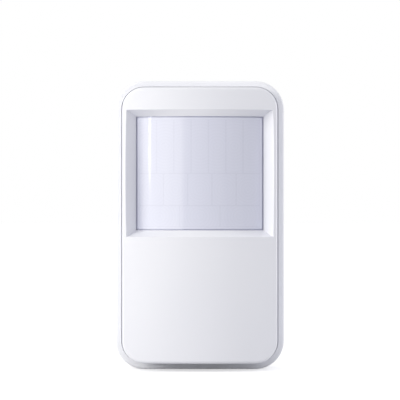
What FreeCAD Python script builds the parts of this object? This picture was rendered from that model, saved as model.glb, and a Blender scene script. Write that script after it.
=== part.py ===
"""A wall-mounted passive infrared motion sensor: base, cover, Fresnel lens, and the board inside.

Millimetres. X runs across, Z up, and the wall is the plane Y = 0. The sensor stands out of the wall
towards -Y, and the origin is the middle of its flat back. A depth is a distance out from the wall.
"""

import FreeCAD, Part
import math
import os

import Sketcher
from FreeCAD import Placement, Rotation, Vector

doc = FreeCAD.newDocument("motion_sensor")
sheet = doc.addObject("Spreadsheet::Sheet", "sizes")

# Driving dimensions
SIZES = [
    ("housing_width", "62", "overall, across"),
    ("housing_height", "106", "overall, up"),
    ("housing_depth", "42", "wall to the front of the cover"),
    ("outline_radius", "10.5", "corner radius of the base seen from the front"),
    ("base_depth", "24", "wall to the front rim of the base"),
    ("base_wall", "2.1", "side walls of the base"),
    ("base_floor", "2.2", "back wall of the base"),
    ("rim_round", "0.8", "rounding of the base's front rim"),
    ("seam_gap", "0.5", "groove between the base's rim and the cover"),
    ("seam_depth", "0.7", "depth of that groove, down to the cover's skirt"),
    ("skirt_gap", "0.1", "air between the cover's skirt and the base's walls"),
    ("cover_seat", "17", "depth at which the cover's edge rests on the base's ribs"),
    ("cover_wall", "2", "cover's wall"),
    ("cover_radius", "8", "corner radius of the cover"),
    ("cover_draft", "0.3", "how far each side of the cover leans in towards the front"),
    ("cover_round", "1.1", "rounding of the cover's front edge"),
    ("face_radius", "80", "curvature of the front face, seen from above"),
    ("barrel_radius", "700", "curvature of the front face, seen from the side"),
    ("window_below_top", "13.4", "top of the window's opening, below the housing's top"),
    ("window_side", "7.8", "side of the housing to the window's opening"),
    ("window_height", "41.4", "opening at the lens"),
    ("bevel_across", "3.6", "width of the window's side bevels"),
    ("bevel_up", "2.4", "width of the window's top and bottom bevels"),
    ("funnel_wall", "1.6", "wall behind the bevels"),
    ("bevel_overrun", "1.5", "how far the bevels are drawn on past the face, as a factor"),
    ("window_sag", "0.2", "evens out the face's curve along the window's sides"),
    ("seat_gap", "0.05", "gap between parts pressed together"),
    ("lens_radius", "44", "front of the lens flange"),
    ("lens_set_back", "3", "front of the housing to the front of the lens flange"),
    ("lens_thickness", "0.7", "lens sheet"),
    ("lens_raise", "0.8", "how far the lens field stands in front of its flange"),
    ("lens_margin", "0.5", "dark gap round the lens field"),
    ("lens_flange", "1.8", "flange beyond the window opening"),
    ("tile_groove", "0.4", "width of the moulded lines between the lens tiles"),
    ("tile_groove_depth", "0.2", "depth of those lines"),
    ("retainer_thickness", "1.6", "frame that presses the lens forward"),
    ("retainer_bar", "3.2", "width of its bars beyond the window opening"),
    ("stake_across", "16", "heat stakes, from the middle"),
    ("stake_beyond", "2.5", "heat stakes, beyond the retainer's edge"),
    ("stake_radius", "1", "stake pin"),
    ("stake_head_radius", "1.7", "melted head of a stake"),
    ("stake_head", "0.9", "height of that head"),
    ("ear_width", "5.2", "retainer's ears"),
    ("ear_reach", "4.7", "ear, from the edge of the retainer to its end"),
    ("fit_gap", "0.1", "clearance of a pin in its hole"),
    ("corner_face", "8", "45 degree faces along the back edges"),
    ("corner_face_margin", "2.5", "their distance from the rounded corners"),
    ("knockout_radius", "2.2", "thin discs in the 45 degree faces"),
    ("knockout_depth", "1.1", "recess of those discs"),
    ("knockout_rise", "26", "knockouts, above and below the middle"),
    ("rib_thickness", "1.6", "ribs that carry the cover's edge"),
    ("rib_reach", "2.6", "those ribs, from the wall inwards"),
    ("rib_side_rise", "32", "side ribs, above and below the middle"),
    ("rib_end_across", "17", "top and bottom ribs, from the middle"),
    ("hook_across", "9", "cover's top hooks, from the middle"),
    ("hook_width", "7", "cover's top hooks"),
    ("hook_thickness", "1.3", "tongue of a hook"),
    ("hook_length", "2.8", "tongue behind the cover's edge"),
    ("nib_length", "1.8", "nib at the end of a tongue"),
    ("hook_clearance", "0.2", "air round a hook in its pocket"),
    ("pocket_depth", "1.1", "pockets in the base's top wall"),
    ("wall_hole_radius", "2.2", "wall screw holes"),
    ("wall_hole_spacing", "48", "upper to lower wall screw hole"),
    ("wall_hole_rise", "12", "middle of the two wall screw holes"),
    ("entry_width", "18", "part of the back wall that is broken out for a cable"),
    ("entry_height", "12", "part of the back wall that is broken out for a cable"),
    ("entry_corner", "2.4", "corners of that part"),
    ("entry_groove", "0.8", "groove round that part"),
    ("entry_depth", "1.3", "depth of that groove"),
    ("ring_width", "2.2", "raised ring round a wall screw hole"),
    ("ring_height", "1", "raised ring round a wall screw hole"),
    ("screw_depth", "20.2", "cover screw, from the wall"),
    ("screw_radius", "1.25", "cover screw shank"),
    ("screw_head_radius", "2.3", "cover screw head"),
    ("screw_head", "1.1", "cover screw head"),
    ("screw_length", "6", "cover screw shank"),
    ("slot_length", "2.6", "cross slot in the cover screw's head"),
    ("slot_width", "0.6", "slots in the screws' heads"),
    ("slot_depth", "1", "cross slot in the cover screw's head"),
    ("screw_recess", "0.15", "head below the housing's underside"),
    ("screw_boss_width", "8", "boss in the cover"),
    ("screw_boss_height", "4.9", "boss in the cover"),
    ("screw_boss_front", "26", "front of that boss, from the wall"),
    ("board_depth", "8", "wall to the back of the circuit board"),
    ("board_thickness", "1.6", "circuit board"),
    ("board_side_room", "3.9", "board's side edges to the base's walls"),
    ("board_end_room", "4.9", "board's upper and lower edges to the base's walls"),
    ("board_radius", "2", "circuit board's corners"),
    ("board_screw_in", "4", "board screws, from the board's side edges"),
    ("board_screw_below", "13", "board screws, below the board's upper edge"),
    ("board_screw_radius", "1.2", "board screw shank"),
    ("board_screw_head_radius", "2.4", "board screw head"),
    ("board_screw_head", "1.5", "board screw head"),
    ("board_screw_bite", "4", "board screws, behind the board"),
    ("post_radius", "3", "posts that carry the board"),
    ("rest_above", "10", "lower board rests, above the board's lower edge"),
    ("clip_across", "13", "board clips, from the middle"),
    ("clip_width", "5", "board clips"),
    ("clip_thickness", "1.4", "board clips"),
    ("clip_nib", "1", "how far a clip reaches over the board"),
    ("clip_air", "0.2", "air between board and clip"),
    ("access_radius", "4.2", "holes in the board over the wall screws"),
    ("sensor_can_radius", "4.1", "infrared sensor can"),
    ("sensor_can_height", "4.2", "infrared sensor can, with its flange"),
    ("sensor_flange_radius", "4.6", "flange of that can"),
    ("sensor_flange", "0.5", "flange of that can"),
    ("sensor_skin", "0.3", "sheet of that can"),
    ("sensor_window_width", "5.2", "filter window"),
    ("sensor_window_height", "4.2", "filter window"),
    ("sensor_spacer", "1", "disc under the can"),
    ("sensor_pin_circle", "2.54", "pins, from the can's middle"),
    ("pin_head", "0.6", "sensor's pins, above its header"),
    ("element_gap", "0.2", "air between those pins and the element"),
    ("element_width", "4.4", "carrier of the sensing element"),
    ("element_height", "3.4", "carrier of the sensing element"),
    ("element_sheet", "0.5", "carrier of the sensing element"),
    ("element_plate_width", "1", "sensing plates"),
    ("element_plate_height", "2", "sensing plates"),
    ("element_plate_depth", "0.15", "sensing plates"),
    ("filter_margin", "0.25", "filter behind the edge of the can's window"),
    ("pin_radius", "0.24", "sensor pins and lamp leads"),
    ("pin_stub", "1.5", "soldered ends behind the board"),
    ("lamp_radius", "1.5", "indicator lamp"),
    ("lamp_height", "4.4", "indicator lamp"),
    ("lamp_across", "2.5", "indicator lamp, left of the middle"),
    ("lamp_below", "14.9", "indicator lamp, below the window's middle"),
    ("lamp_lead_spacing", "2.54", "lamp leads"),
    ("tamper_in", "3.5", "cover switch, from the board's right edge"),
    ("tamper_below", "7.4", "cover switch, below the window's opening"),
    ("tamper_size", "6", "cover switch body"),
    ("tamper_height", "3.4", "cover switch body"),
    ("plunger_radius", "1.75", "cover switch plunger"),
    ("plunger_height", "1.6", "plunger, held down by the cover's post"),
    ("tamper_post_radius", "2.2", "cover's post over the switch"),
    ("tamper_post_bore", "1.1", "coring of that post"),
    ("cell_radius", "8.4", "lithium cell"),
    ("cell_length", "33.5", "lithium cell, without its terminal"),
    ("cell_above", "12.4", "axis of the cell, above the board's lower edge"),
    ("terminal_radius", "3.2", "positive terminal"),
    ("terminal_height", "1", "positive terminal"),
    ("holder_wall", "1.5", "battery holder"),
    ("holder_floor", "1", "battery holder"),
    ("holder_length", "44", "battery holder"),
    ("holder_height", "12", "battery holder, from the board"),
    ("holder_gap", "0.3", "air round the cell"),
    ("contact_thickness", "0.4", "contact sheet"),
    ("contact_width", "9", "contact sheet"),
    ("spring_wire", "0.4", "radius of the spring's wire"),
    ("spring_radius", "3.4", "spring"),
    ("spring_turns", "3", "spring"),
    ("radio_width", "15", "radio module's own board"),
    ("radio_height", "13", "radio module's own board"),
    ("radio_sheet", "0.8", "radio module's own board"),
    ("shield_width", "12", "can over the radio"),
    ("shield_height", "10", "can over the radio"),
    ("shield_depth", "2", "can over the radio"),
    ("shield_skin", "0.3", "can over the radio"),
    ("radio_left", "13", "radio module, left of the middle"),
    ("radio_below", "9.5", "radio module, below the middle"),
    ("micro_size", "7", "microcontroller"),
    ("micro_right", "10", "microcontroller, right of the middle"),
    ("micro_below", "19", "microcontroller, below the window's middle"),
    ("amplifier_width", "5", "amplifier chip"),
    ("amplifier_height", "4", "amplifier chip"),
    ("amplifier_right", "12", "amplifier chip, right of the middle"),
    ("amplifier_above", "8", "amplifier chip, above the window's middle"),
    ("chip_depth", "1.3", "moulded chips"),
    ("chip_lift", "0.25", "moulded chips, above the board"),
    ("crystal_width", "5", "crystal's can"),
    ("crystal_height", "3.2", "crystal's can"),
    ("crystal_depth", "1.6", "crystal's can"),
    ("crystal_right", "11", "crystal, right of the middle"),
    ("crystal_below", "10", "crystal, below the window's middle"),
    ("store_radius", "2.5", "storage capacitor"),
    ("store_depth", "5.4", "storage capacitor"),
    ("store_groove", "0.25", "groove round the storage capacitor"),
    ("store_right", "20", "storage capacitor, right of the middle"),
    ("store_below", "15", "storage capacitor, below the window's middle"),
    ("leg_pitch", "1", "microcontroller's legs"),
    ("wide_leg_pitch", "1.27", "amplifier's legs"),
    ("leg_sheet", "0.15", "chips' legs"),
    ("leg_width", "0.3", "chips' legs"),
    ("jumper_pitch", "2.54", "settings pins"),
    ("jumper_pin", "0.64", "settings pins"),
    ("jumper_pin_length", "8.2", "settings pins"),
    ("jumper_body", "2.4", "block that holds those pins"),
    ("jumper_cap_length", "6.6", "cap over two of those pins"),
    ("jumper_left", "21", "settings pins, left of the middle"),
    ("jumper_below", "11", "settings pins, below the window's middle"),
    ("resistor_length", "2", "chip resistors"),
    ("resistor_width", "1.25", "chip resistors"),
    ("resistor_depth", "0.5", "chip resistors"),
    ("capacitor_depth", "1.1", "chip capacitors"),
    ("antenna_wire", "0.4", "radius of the antenna's wire"),
    ("antenna_radius", "2", "antenna coil"),
    ("antenna_turns", "5", "antenna coil"),
    ("antenna_length", "13", "antenna coil"),
    ("antenna_below", "2.8", "antenna coil, below the board's upper edge"),
]
for row, (alias, number, note) in enumerate(SIZES, start=1):
    sheet.set(f"A{row}", note)
    sheet.set(f"B{row}", number)
    sheet.setAlias(f"B{row}", alias)
doc.recompute()


class Size:
    """A length that knows its number now, and the expression that keeps it so in the document."""

    def __init__(self, text, number):
        self.text = text
        self.number = number

    def joined(self, sign, other, number, swapped=False):
        other = as_size(other)
        first, second = (other, self) if swapped else (self, other)
        return Size(f"({first.text} {sign} {second.text})", number)

    def __add__(self, other):
        return self.joined("+", other, self.number + as_size(other).number)

    def __sub__(self, other):
        return self.joined("-", other, self.number - as_size(other).number)

    def __mul__(self, other):
        return self.joined("*", other, self.number * as_size(other).number)

    def __truediv__(self, other):
        return self.joined("/", other, self.number / as_size(other).number)

    def __radd__(self, other):
        return self.joined("+", other, as_size(other).number + self.number, swapped=True)

    def __rsub__(self, other):
        return self.joined("-", other, as_size(other).number - self.number, swapped=True)

    def __rmul__(self, other):
        return self.joined("*", other, as_size(other).number * self.number, swapped=True)

    def __neg__(self):
        return Size(f"(0 - {self.text})", -self.number)


def as_size(value):
    """A plain number as a Size. Sizes pass through."""
    if isinstance(value, Size):
        return value
    return Size(f"({value})" if value < 0 else f"{value}", float(value))


def root(size):
    """Square root of a Size."""
    return Size(f"sqrt({size.text})", math.sqrt(size.number))


class Sizes:
    """The sheet's named values, such as s.housing_width."""


s = Sizes()
for alias, _number, _note in SIZES:
    setattr(s, alias, Size(f"sizes.{alias}", float(sheet.get(alias))))

# Places that follow from the sizes
s.lens_depth = s.housing_depth - s.lens_set_back
s.window_width = s.housing_width - s.window_side * 2
s.window_top = s.housing_height * 0.5 - s.window_below_top
s.window_rise = s.window_top - s.window_height * 0.5
s.window_low = s.window_top - s.window_height
s.stake_up = s.window_height * 0.5 + s.retainer_bar + s.stake_beyond
s.board_width = s.housing_width - (s.base_wall + s.board_side_room) * 2
s.board_height = s.housing_height - (s.base_wall + s.board_end_room) * 2
s.board_screw_across = s.board_width * 0.5 - s.board_screw_in
s.board_screw_rise = s.board_height * 0.5 - s.board_screw_below
s.rest_across = s.board_screw_across
s.rest_rise = s.rest_above - s.board_height * 0.5
s.lamp_rise = s.window_rise - s.lamp_below
s.tamper_across = s.board_width * 0.5 - s.tamper_in
s.tamper_rise = s.window_low - s.tamper_below
s.cell_rise = s.cell_above - s.board_height * 0.5
s.antenna_rise = s.board_height * 0.5 - s.antenna_below


def bind(thing, place, size):
    """Ties a property of an object, or a sketch's constraint, to an expression."""
    thing.setExpression(place, as_size(size).text)


# Helpers for sketches and features


def new_body(name):
    body = doc.addObject("PartDesign::Body", name)
    body.Label = name
    return body


def sketch_on(body, name, role="XZ_Plane", offset=0):
    """A sketch on one of the body's origin planes, moved along that plane's normal by offset.

    On XZ_Plane the normal points out of the wall, so offset is a depth. On XY_Plane it points up.
    """
    sketch = body.newObject("Sketcher::SketchObject", name)
    plane = next(o for o in body.Origin.OriginFeatures if o.Role == role)
    sketch.AttachmentSupport = (plane, [""])
    sketch.MapMode = "FlatFace"
    bind(sketch, ".AttachmentOffset.Base.z", offset)
    return sketch


def measure(sketch, kind, geometry, point, size):
    """Constrains a point's distance from the sketch's origin, or a radius, to an expression."""
    size = as_size(size)
    if kind == "Radius":
        index = sketch.addConstraint(Sketcher.Constraint("Radius", geometry, size.number))
    else:
        index = sketch.addConstraint(Sketcher.Constraint(kind, -1, 1, geometry, point, size.number))
    bind(sketch, f"Constraints[{index}]", size)


def rounded_rectangle(sketch, width, height, radius, across=0, up=0):
    """Four lines and four corner arcs, centred on (across, up)."""
    width, height, radius = as_size(width), as_size(height), as_size(radius)
    across, up = as_size(across), as_size(up)
    left, right = across - width * 0.5, across + width * 0.5
    low, high = up - height * 0.5, up + height * 0.5
    r = radius.number
    x0, x1, y0, y1 = left.number, right.number, low.number, high.number
    corners = [
        ((x0 + r, y0), (x1 - r, y0), (x1 - r, y0 + r), -90),
        ((x1, y0 + r), (x1, y1 - r), (x1 - r, y1 - r), 0),
        ((x1 - r, y1), (x0 + r, y1), (x0 + r, y1 - r), 90),
        ((x0, y1 - r), (x0, y0 + r), (x0 + r, y0 + r), 180),
    ]
    first = sketch.GeometryCount
    for start, end, centre, angle in corners:
        sketch.addGeometry(Part.LineSegment(Vector(*start, 0), Vector(*end, 0)))
        circle = Part.Circle(Vector(*centre, 0), Vector(0, 0, 1), r)
        begin = math.radians(angle)
        sketch.addGeometry(Part.ArcOfCircle(circle, begin, begin + math.pi / 2))
    for side in range(4):
        line, arc = first + 2 * side, first + 2 * side + 1
        following = first + (2 * side + 2) % 8
        sketch.addConstraint(Sketcher.Constraint("Tangent", line, 2, arc, 1))
        sketch.addConstraint(Sketcher.Constraint("Tangent", arc, 2, following, 1))
        sketch.addConstraint(Sketcher.Constraint("Vertical" if side % 2 else "Horizontal", line))
        measure(sketch, "Radius", arc, None, radius)
    measure(sketch, "DistanceY", first, 1, low)
    measure(sketch, "DistanceX", first + 2, 1, right)
    measure(sketch, "DistanceY", first + 4, 1, high)
    measure(sketch, "DistanceX", first + 6, 1, left)


def polygon(sketch, points):
    """A closed outline through points, each an (x, y) pair of lengths or plain numbers."""
    points = [(as_size(x), as_size(y)) for x, y in points]
    first = sketch.GeometryCount
    count = len(points)
    for i, (x, y) in enumerate(points):
        x2, y2 = points[(i + 1) % count]
        sketch.addGeometry(
            Part.LineSegment(Vector(x.number, y.number, 0), Vector(x2.number, y2.number, 0))
        )
    for i, (x, y) in enumerate(points):
        following = first + (i + 1) % count
        sketch.addConstraint(Sketcher.Constraint("Coincident", first + i, 2, following, 1))
        measure(sketch, "DistanceX", first + i, 1, x)
        measure(sketch, "DistanceY", first + i, 1, y)


def rectangle(sketch, width, height, across=0, up=0):
    """A sharp rectangle centred on (across, up)."""
    width, height, across, up = (as_size(v) for v in (width, height, across, up))
    left, right = across - width * 0.5, across + width * 0.5
    low, high = up - height * 0.5, up + height * 0.5
    polygon(sketch, [(left, low), (right, low), (right, high), (left, high)])


def circle(sketch, radius, across=0, up=0):
    radius, across, up = as_size(radius), as_size(across), as_size(up)
    index = sketch.addGeometry(
        Part.Circle(Vector(across.number, up.number, 0), Vector(0, 0, 1), radius.number)
    )
    measure(sketch, "Radius", index, None, radius)
    measure(sketch, "DistanceX", index, 3, across)
    measure(sketch, "DistanceY", index, 3, up)


def extrude(kind, sketch, length, symmetric=False, reverse=False):
    """A Pad or Pocket of a sketch, in the sketch's own body."""
    body = sketch.getParentGeoFeatureGroup()
    feature = body.newObject("PartDesign::" + kind, f"{sketch.Name}_{kind.lower()}")
    feature.Profile = sketch
    feature.Length = as_size(length).number
    bind(feature, "Length", length)
    if symmetric:
        feature.SideType = "Symmetric"
    feature.Reversed = reverse
    return feature


def pad(sketch, length, symmetric=False, reverse=False):
    return extrude("Pad", sketch, length, symmetric, reverse)


def pocket(sketch, length, symmetric=False, reverse=True):
    """Cuts along the sketch's normal, so out of the wall on XZ_Plane and up on XY_Plane."""
    return extrude("Pocket", sketch, length, symmetric, reverse)


# Helpers for primitives and booleans


def place(thing, across, depth, up, rotation=None):
    """Puts an object's own origin at a place given by its distance out from the wall."""
    across, depth, up = as_size(across), as_size(depth), as_size(up)
    thing.Placement = Placement(
        Vector(across.number, -depth.number, up.number), rotation or Rotation()
    )
    bind(thing, ".Placement.Base.x", across)
    bind(thing, ".Placement.Base.y", -depth)
    bind(thing, ".Placement.Base.z", up)
    return thing


def block(name, width, thickness, height, across=0, depth=0, up=0):
    """A box centred across and up on (across, up), whose back lies at a depth."""
    width, thickness, height = as_size(width), as_size(thickness), as_size(height)
    thing = doc.addObject("Part::Box", name)
    for side, size in (("Length", width), ("Width", thickness), ("Height", height)):
        setattr(thing, side, size.number)
        bind(thing, side, size)
    across, depth, up = as_size(across), as_size(depth), as_size(up)
    return place(thing, across - width * 0.5, depth + thickness, up - height * 0.5)


OUT_OF_WALL = Rotation(Vector(1, 0, 0), 90)
ACROSS = Rotation(Vector(0, 1, 0), 90)


def rod(name, radius, length, across=0, depth=0, up=0, rotation=OUT_OF_WALL):
    """A cylinder that starts at a place and runs out of the wall, or along another direction."""
    thing = doc.addObject("Part::Cylinder", name)
    for side, size in (("Radius", radius), ("Height", length)):
        setattr(thing, side, as_size(size).number)
        bind(thing, side, size)
    return place(thing, across, depth, up, rotation)


def cut(name, base, tool):
    thing = doc.addObject("Part::Cut", name)
    thing.Base = base
    thing.Tool = tool
    return thing


def common(name, base, tool):
    thing = doc.addObject("Part::Common", name)
    thing.Base = base
    thing.Tool = tool
    return thing


def fused(name, parts):
    thing = doc.addObject("Part::MultiFuse", name)
    thing.Shapes = parts
    return thing


def group(name, parts):
    """Separate solids that share one node."""
    thing = doc.addObject("Part::Compound", name)
    thing.Links = parts
    return thing


def rounded(name, base, radius, wanted):
    """Part::Fillet on the edges that the wanted function picks."""
    doc.recompute()
    thing = doc.addObject("Part::Fillet", name)
    thing.Base = base
    radius = as_size(radius)
    edges = [i for i, edge in enumerate(base.Shape.Edges, start=1) if wanted(edge)]
    thing.Edges = [(i, radius.number, radius.number) for i in edges]
    return thing


def depth_range(edge):
    """The edge's smallest and largest distance out from the wall."""
    box = edge.BoundBox
    return -box.YMax, -box.YMin


subparts = []


def finished(thing, name):
    """Marks an object as a sub-part: its label names its file."""
    thing.Label = name
    subparts.append(thing)
    return thing


# The rear base: a tray with 45 degree faces along its back edges

base_width = s.housing_width
base_height = s.housing_height
cavity_width = base_width - s.base_wall * 2
cavity_height = base_height - s.base_wall * 2
half_cavity_width = cavity_width * 0.5
half_cavity_height = cavity_height * 0.5

base = new_body("rear_base_body")

outline = sketch_on(base, "base_outline")
rounded_rectangle(outline, base_width, base_height, s.outline_radius)
base_block = pad(outline, s.base_depth)
doc.recompute()

rim = base.newObject("PartDesign::Fillet", "base_rim_round")
front_edges = [
    f"Edge{i}"
    for i, edge in enumerate(base_block.Shape.Edges, start=1)
    if depth_range(edge)[0] > s.base_depth.number - 0.01
]
rim.Base = (base_block, front_edges)
rim.Radius = s.rim_round.number
bind(rim, "Radius", s.rim_round)

cavity = sketch_on(base, "base_cavity", offset=s.base_floor)
rounded_rectangle(cavity, cavity_width, cavity_height, s.outline_radius - s.base_wall)
pocket(cavity, s.base_depth - s.base_floor)

# Wedges keep the wall thick behind the 45 degree faces
face_length = base_height - s.outline_radius * 2 - s.corner_face_margin * 2
wedge_reach = s.corner_face + s.base_wall * root(as_size(2))
wedge_length = face_length + s.base_wall * 2
wedge_start = s.base_wall * 0.5
wedges = sketch_on(base, "back_edge_wedges", "XY_Plane", -wedge_length * 0.5)
for side in (-1, 1):
    edge = base_width * (0.5 * side)
    polygon(
        wedges,
        [
            (edge - wedge_start * side, -wedge_start),
            (edge - (wedge_reach - wedge_start) * side, -wedge_start),
            (edge - wedge_start * side, wedge_start - wedge_reach),
        ],
    )
pad(wedges, wedge_length)

# Ribs on which the cover's edge rests
ribs = sketch_on(base, "cover_ribs", offset=s.base_floor * 0.5)
for side in (-1, 1):
    for row in (-1, 0, 1):
        rectangle(
            ribs,
            s.rib_reach + s.base_wall * 0.5,
            s.rib_thickness,
            (half_cavity_width - s.rib_reach * 0.5 + s.base_wall * 0.25) * side,
            s.rib_side_rise * row,
        )
    for end in (-1, 1):
        rectangle(
            ribs,
            s.rib_thickness,
            s.rib_reach + s.base_wall * 0.5,
            s.rib_end_across * side,
            (half_cavity_height - s.rib_reach * 0.5 + s.base_wall * 0.25) * end,
        )
pad(ribs, s.cover_seat - s.base_floor * 0.5)

# Posts behind the board
posts = sketch_on(base, "board_posts", offset=s.base_floor * 0.5)
for side in (-1, 1):
    circle(posts, s.post_radius, s.board_screw_across * side, s.board_screw_rise)
    circle(posts, s.post_radius, s.rest_across * side, s.rest_rise)
pad(posts, s.board_depth - s.base_floor * 0.5 - s.seat_gap)

# Clips that hold the board's lower edge
board_front = s.board_depth + s.board_thickness
board_foot = -s.board_height * 0.5
clip_back = board_foot - s.clip_air - s.clip_thickness
clip_tip = board_foot + s.clip_nib
for side in (-1, 1):
    word = "left" if side < 0 else "right"
    clip = sketch_on(base, f"board_clip_{word}", "YZ_Plane", s.clip_across * side)
    polygon(
        clip,
        [
            (-s.base_floor * 0.5, clip_back),
            (-s.base_floor * 0.5, clip_back + s.clip_thickness),
            (-(board_front + s.clip_air), clip_back + s.clip_thickness),
            (-(board_front + s.clip_air), clip_tip),
            (-(board_front + s.clip_air + s.clip_nib * 0.4), clip_tip),
            (-(board_front + s.clip_air + s.clip_nib * 1.6), clip_back + s.clip_thickness * 0.6),
            (-(board_front + s.clip_air + s.clip_nib * 1.6), clip_back),
        ],
    )
    pad(clip, s.clip_width, symmetric=True)

# Raised rings round the wall screw holes
wall_holes = [s.wall_hole_rise + s.wall_hole_spacing * (0.5 * end) for end in (-1, 1)]
rings = sketch_on(base, "screw_rings", offset=s.base_floor * 0.5)
for rise in wall_holes:
    circle(rings, s.wall_hole_radius + s.ring_width, 0, rise)
pad(rings, s.base_floor * 0.5 + s.ring_height)

holes = sketch_on(base, "wall_screw_holes")
for rise in wall_holes:
    circle(holes, s.wall_hole_radius, 0, rise)
pocket(holes, s.base_floor + s.ring_height + 1)

# A groove round the piece of back wall that is broken out for a cable
entry = sketch_on(base, "cable_entry")
entry_rise = s.wall_hole_rise
rounded_rectangle(entry, s.entry_width, s.entry_height, s.entry_corner, 0, entry_rise)
rounded_rectangle(
    entry,
    s.entry_width - s.entry_groove * 2,
    s.entry_height - s.entry_groove * 2,
    s.entry_corner - s.entry_groove,
    0,
    entry_rise,
)
pocket(entry, s.entry_depth)

pilots = sketch_on(base, "board_screw_pilots", offset=s.base_floor + 1)
for side in (-1, 1):
    circle(pilots, s.board_screw_radius + s.fit_gap, s.board_screw_across * side, s.board_screw_rise)
pocket(pilots, s.board_depth)

# 45 degree faces
faces = sketch_on(base, "back_edge_faces", "XY_Plane", -face_length * 0.5)
for side in (-1, 1):
    edge = base_width * (0.5 * side)
    polygon(
        faces,
        [
            (edge + s.base_wall * side, s.base_wall),
            (edge - (s.corner_face + s.base_wall) * side, s.base_wall),
            (edge + s.base_wall * side, -(s.corner_face + s.base_wall)),
        ],
    )
pocket(faces, face_length)

# Hole for the cover screw, with a recess for its head
foot = -s.housing_height * 0.5
screw_recess = s.screw_head + s.screw_recess
head_recess = sketch_on(base, "cover_screw_recess", "XY_Plane", foot)
circle(head_recess, s.screw_head_radius + s.hook_clearance, 0, -s.screw_depth)
pocket(head_recess, screw_recess)
shank_hole = sketch_on(base, "cover_screw_hole", "XY_Plane", foot)
circle(shank_hole, s.screw_radius + s.hook_clearance, 0, -s.screw_depth)
pocket(shank_hole, s.base_wall + 1)

# Pockets that catch the cover's hooks
cover_width = s.housing_width - (s.base_wall + s.seam_gap) * 2
cover_height = s.housing_height - (s.base_wall + s.seam_gap) * 2
hook_end = s.cover_seat - s.hook_length
pocket_back = hook_end - s.hook_clearance
catches = sketch_on(base, "hook_pockets", offset=pocket_back)
for side in (-1, 1):
    rectangle(
        catches,
        s.hook_width + s.hook_clearance * 4,
        s.pocket_depth + 1,
        s.hook_across * side,
        half_cavity_height + (s.pocket_depth - 1) * 0.5,
    )
last = pocket(catches, s.nib_length + s.hook_clearance * 2)
base.Tip = last

# Thin discs in the 45 degree faces, for cable holes
discs = []
disc_start = s.corner_face * 0.5 - 1
for side in (-1, 1):
    for end in (-1, 1):
        name = f"knockout_{'left' if side < 0 else 'right'}_{'low' if end < 0 else 'high'}"
        inward = Rotation(Vector(0, 0, 1), Vector(-side, -1, 0))
        disc = rod(
            name,
            s.knockout_radius,
            s.knockout_depth + root(as_size(2)),
            (s.housing_width * 0.5 - disc_start) * side,
            disc_start,
            s.knockout_rise * end,
            inward,
        )
        discs.append(disc)
finished(cut("rear_base", base, fused("knockouts", discs)), "rear_base")

# The front cover: a shell between two forms, with a moulded funnel round the lens window

window_half_width = s.window_width * 0.5
window_half_height = s.window_height * 0.5
lens_front = s.lens_radius + s.lens_raise
lens_axis = s.lens_depth - s.lens_radius
past_face = s.housing_depth + 2


def cover_form(name, inset):
    """The cover's outer shape, or the same shape moved inwards by a wall."""
    loft_body = new_body(name + "_sides")
    sections = []
    for place_name, depth, draft in (
        ("edge", s.cover_seat - inset, as_size(0)),
        ("front", past_face, s.cover_draft),
    ):
        section = sketch_on(loft_body, f"{name}_{place_name}", offset=depth)
        shrink = draft + inset
        rounded_rectangle(
            section, cover_width - shrink * 2, cover_height - shrink * 2, s.cover_radius - shrink
        )
        sections.append(section)
    loft = loft_body.newObject("PartDesign::AdditiveLoft", name + "_loft")
    loft.Profile = sections[0]
    loft.Sections = sections[1:]
    loft.Ruled = True
    loft_body.Tip = loft

    # The face: an arc seen from above, swung about a far axis behind the wall
    profile = doc.addObject("Sketcher::SketchObject", name + "_face_profile")
    back = 8
    half = s.housing_width * 0.5 + 4
    arc_radius = s.face_radius - inset
    centre = s.face_radius - s.housing_depth
    w, c, r = half.number, centre.number, arc_radius.number
    drop = math.sqrt(r * r - w * w)
    profile.addGeometry(Part.LineSegment(Vector(-w, -back, 0), Vector(w, -back, 0)))
    profile.addGeometry(Part.LineSegment(Vector(w, -back, 0), Vector(w, c - drop, 0)))
    full = Part.Circle(Vector(0, c, 0), Vector(0, 0, 1), r)
    turn = math.asin(w / r)
    profile.addGeometry(Part.ArcOfCircle(full, -math.pi / 2 - turn, -math.pi / 2 + turn))
    profile.addGeometry(Part.LineSegment(Vector(-w, c - drop, 0), Vector(-w, -back, 0)))
    joins = [(0, 2, 1, 1), (1, 2, 2, 2), (2, 1, 3, 1), (3, 2, 0, 1)]
    for join in joins:
        profile.addConstraint(Sketcher.Constraint("Coincident", *join))
    profile.addConstraint(Sketcher.Constraint("Vertical", 1))
    profile.addConstraint(Sketcher.Constraint("Vertical", 3))
    measure(profile, "Radius", 2, None, arc_radius)
    measure(profile, "DistanceX", 2, 3, 0)
    measure(profile, "DistanceY", 2, 3, centre)
    measure(profile, "DistanceX", 0, 1, -half)
    measure(profile, "DistanceY", 0, 1, -back)
    measure(profile, "DistanceX", 0, 2, half)
    measure(profile, "DistanceY", 0, 2, -back)
    barrel = doc.addObject("Part::Revolution", name + "_face")
    barrel.Source = profile
    barrel.Axis = Vector(1, 0, 0)
    barrel.Base = Vector(0, s.barrel_radius.number - s.housing_depth.number, 0)
    bind(barrel, "Base.y", s.barrel_radius - s.housing_depth)
    barrel.Angle = 12
    barrel.Symmetric = True
    barrel.Solid = True
    return common(name, loft_body, barrel)


def lens_at(across):
    """Depth of the lens field's front at a distance from the middle."""
    return lens_axis + root(lens_front * lens_front - across * across)


def face_at(across, up):
    """Depth of the cover's face at a place."""
    fall_across = s.face_radius - root(s.face_radius * s.face_radius - across * across)
    fall_up = s.barrel_radius - root(s.barrel_radius * s.barrel_radius - up * up)
    return s.housing_depth - fall_across - fall_up


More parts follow.
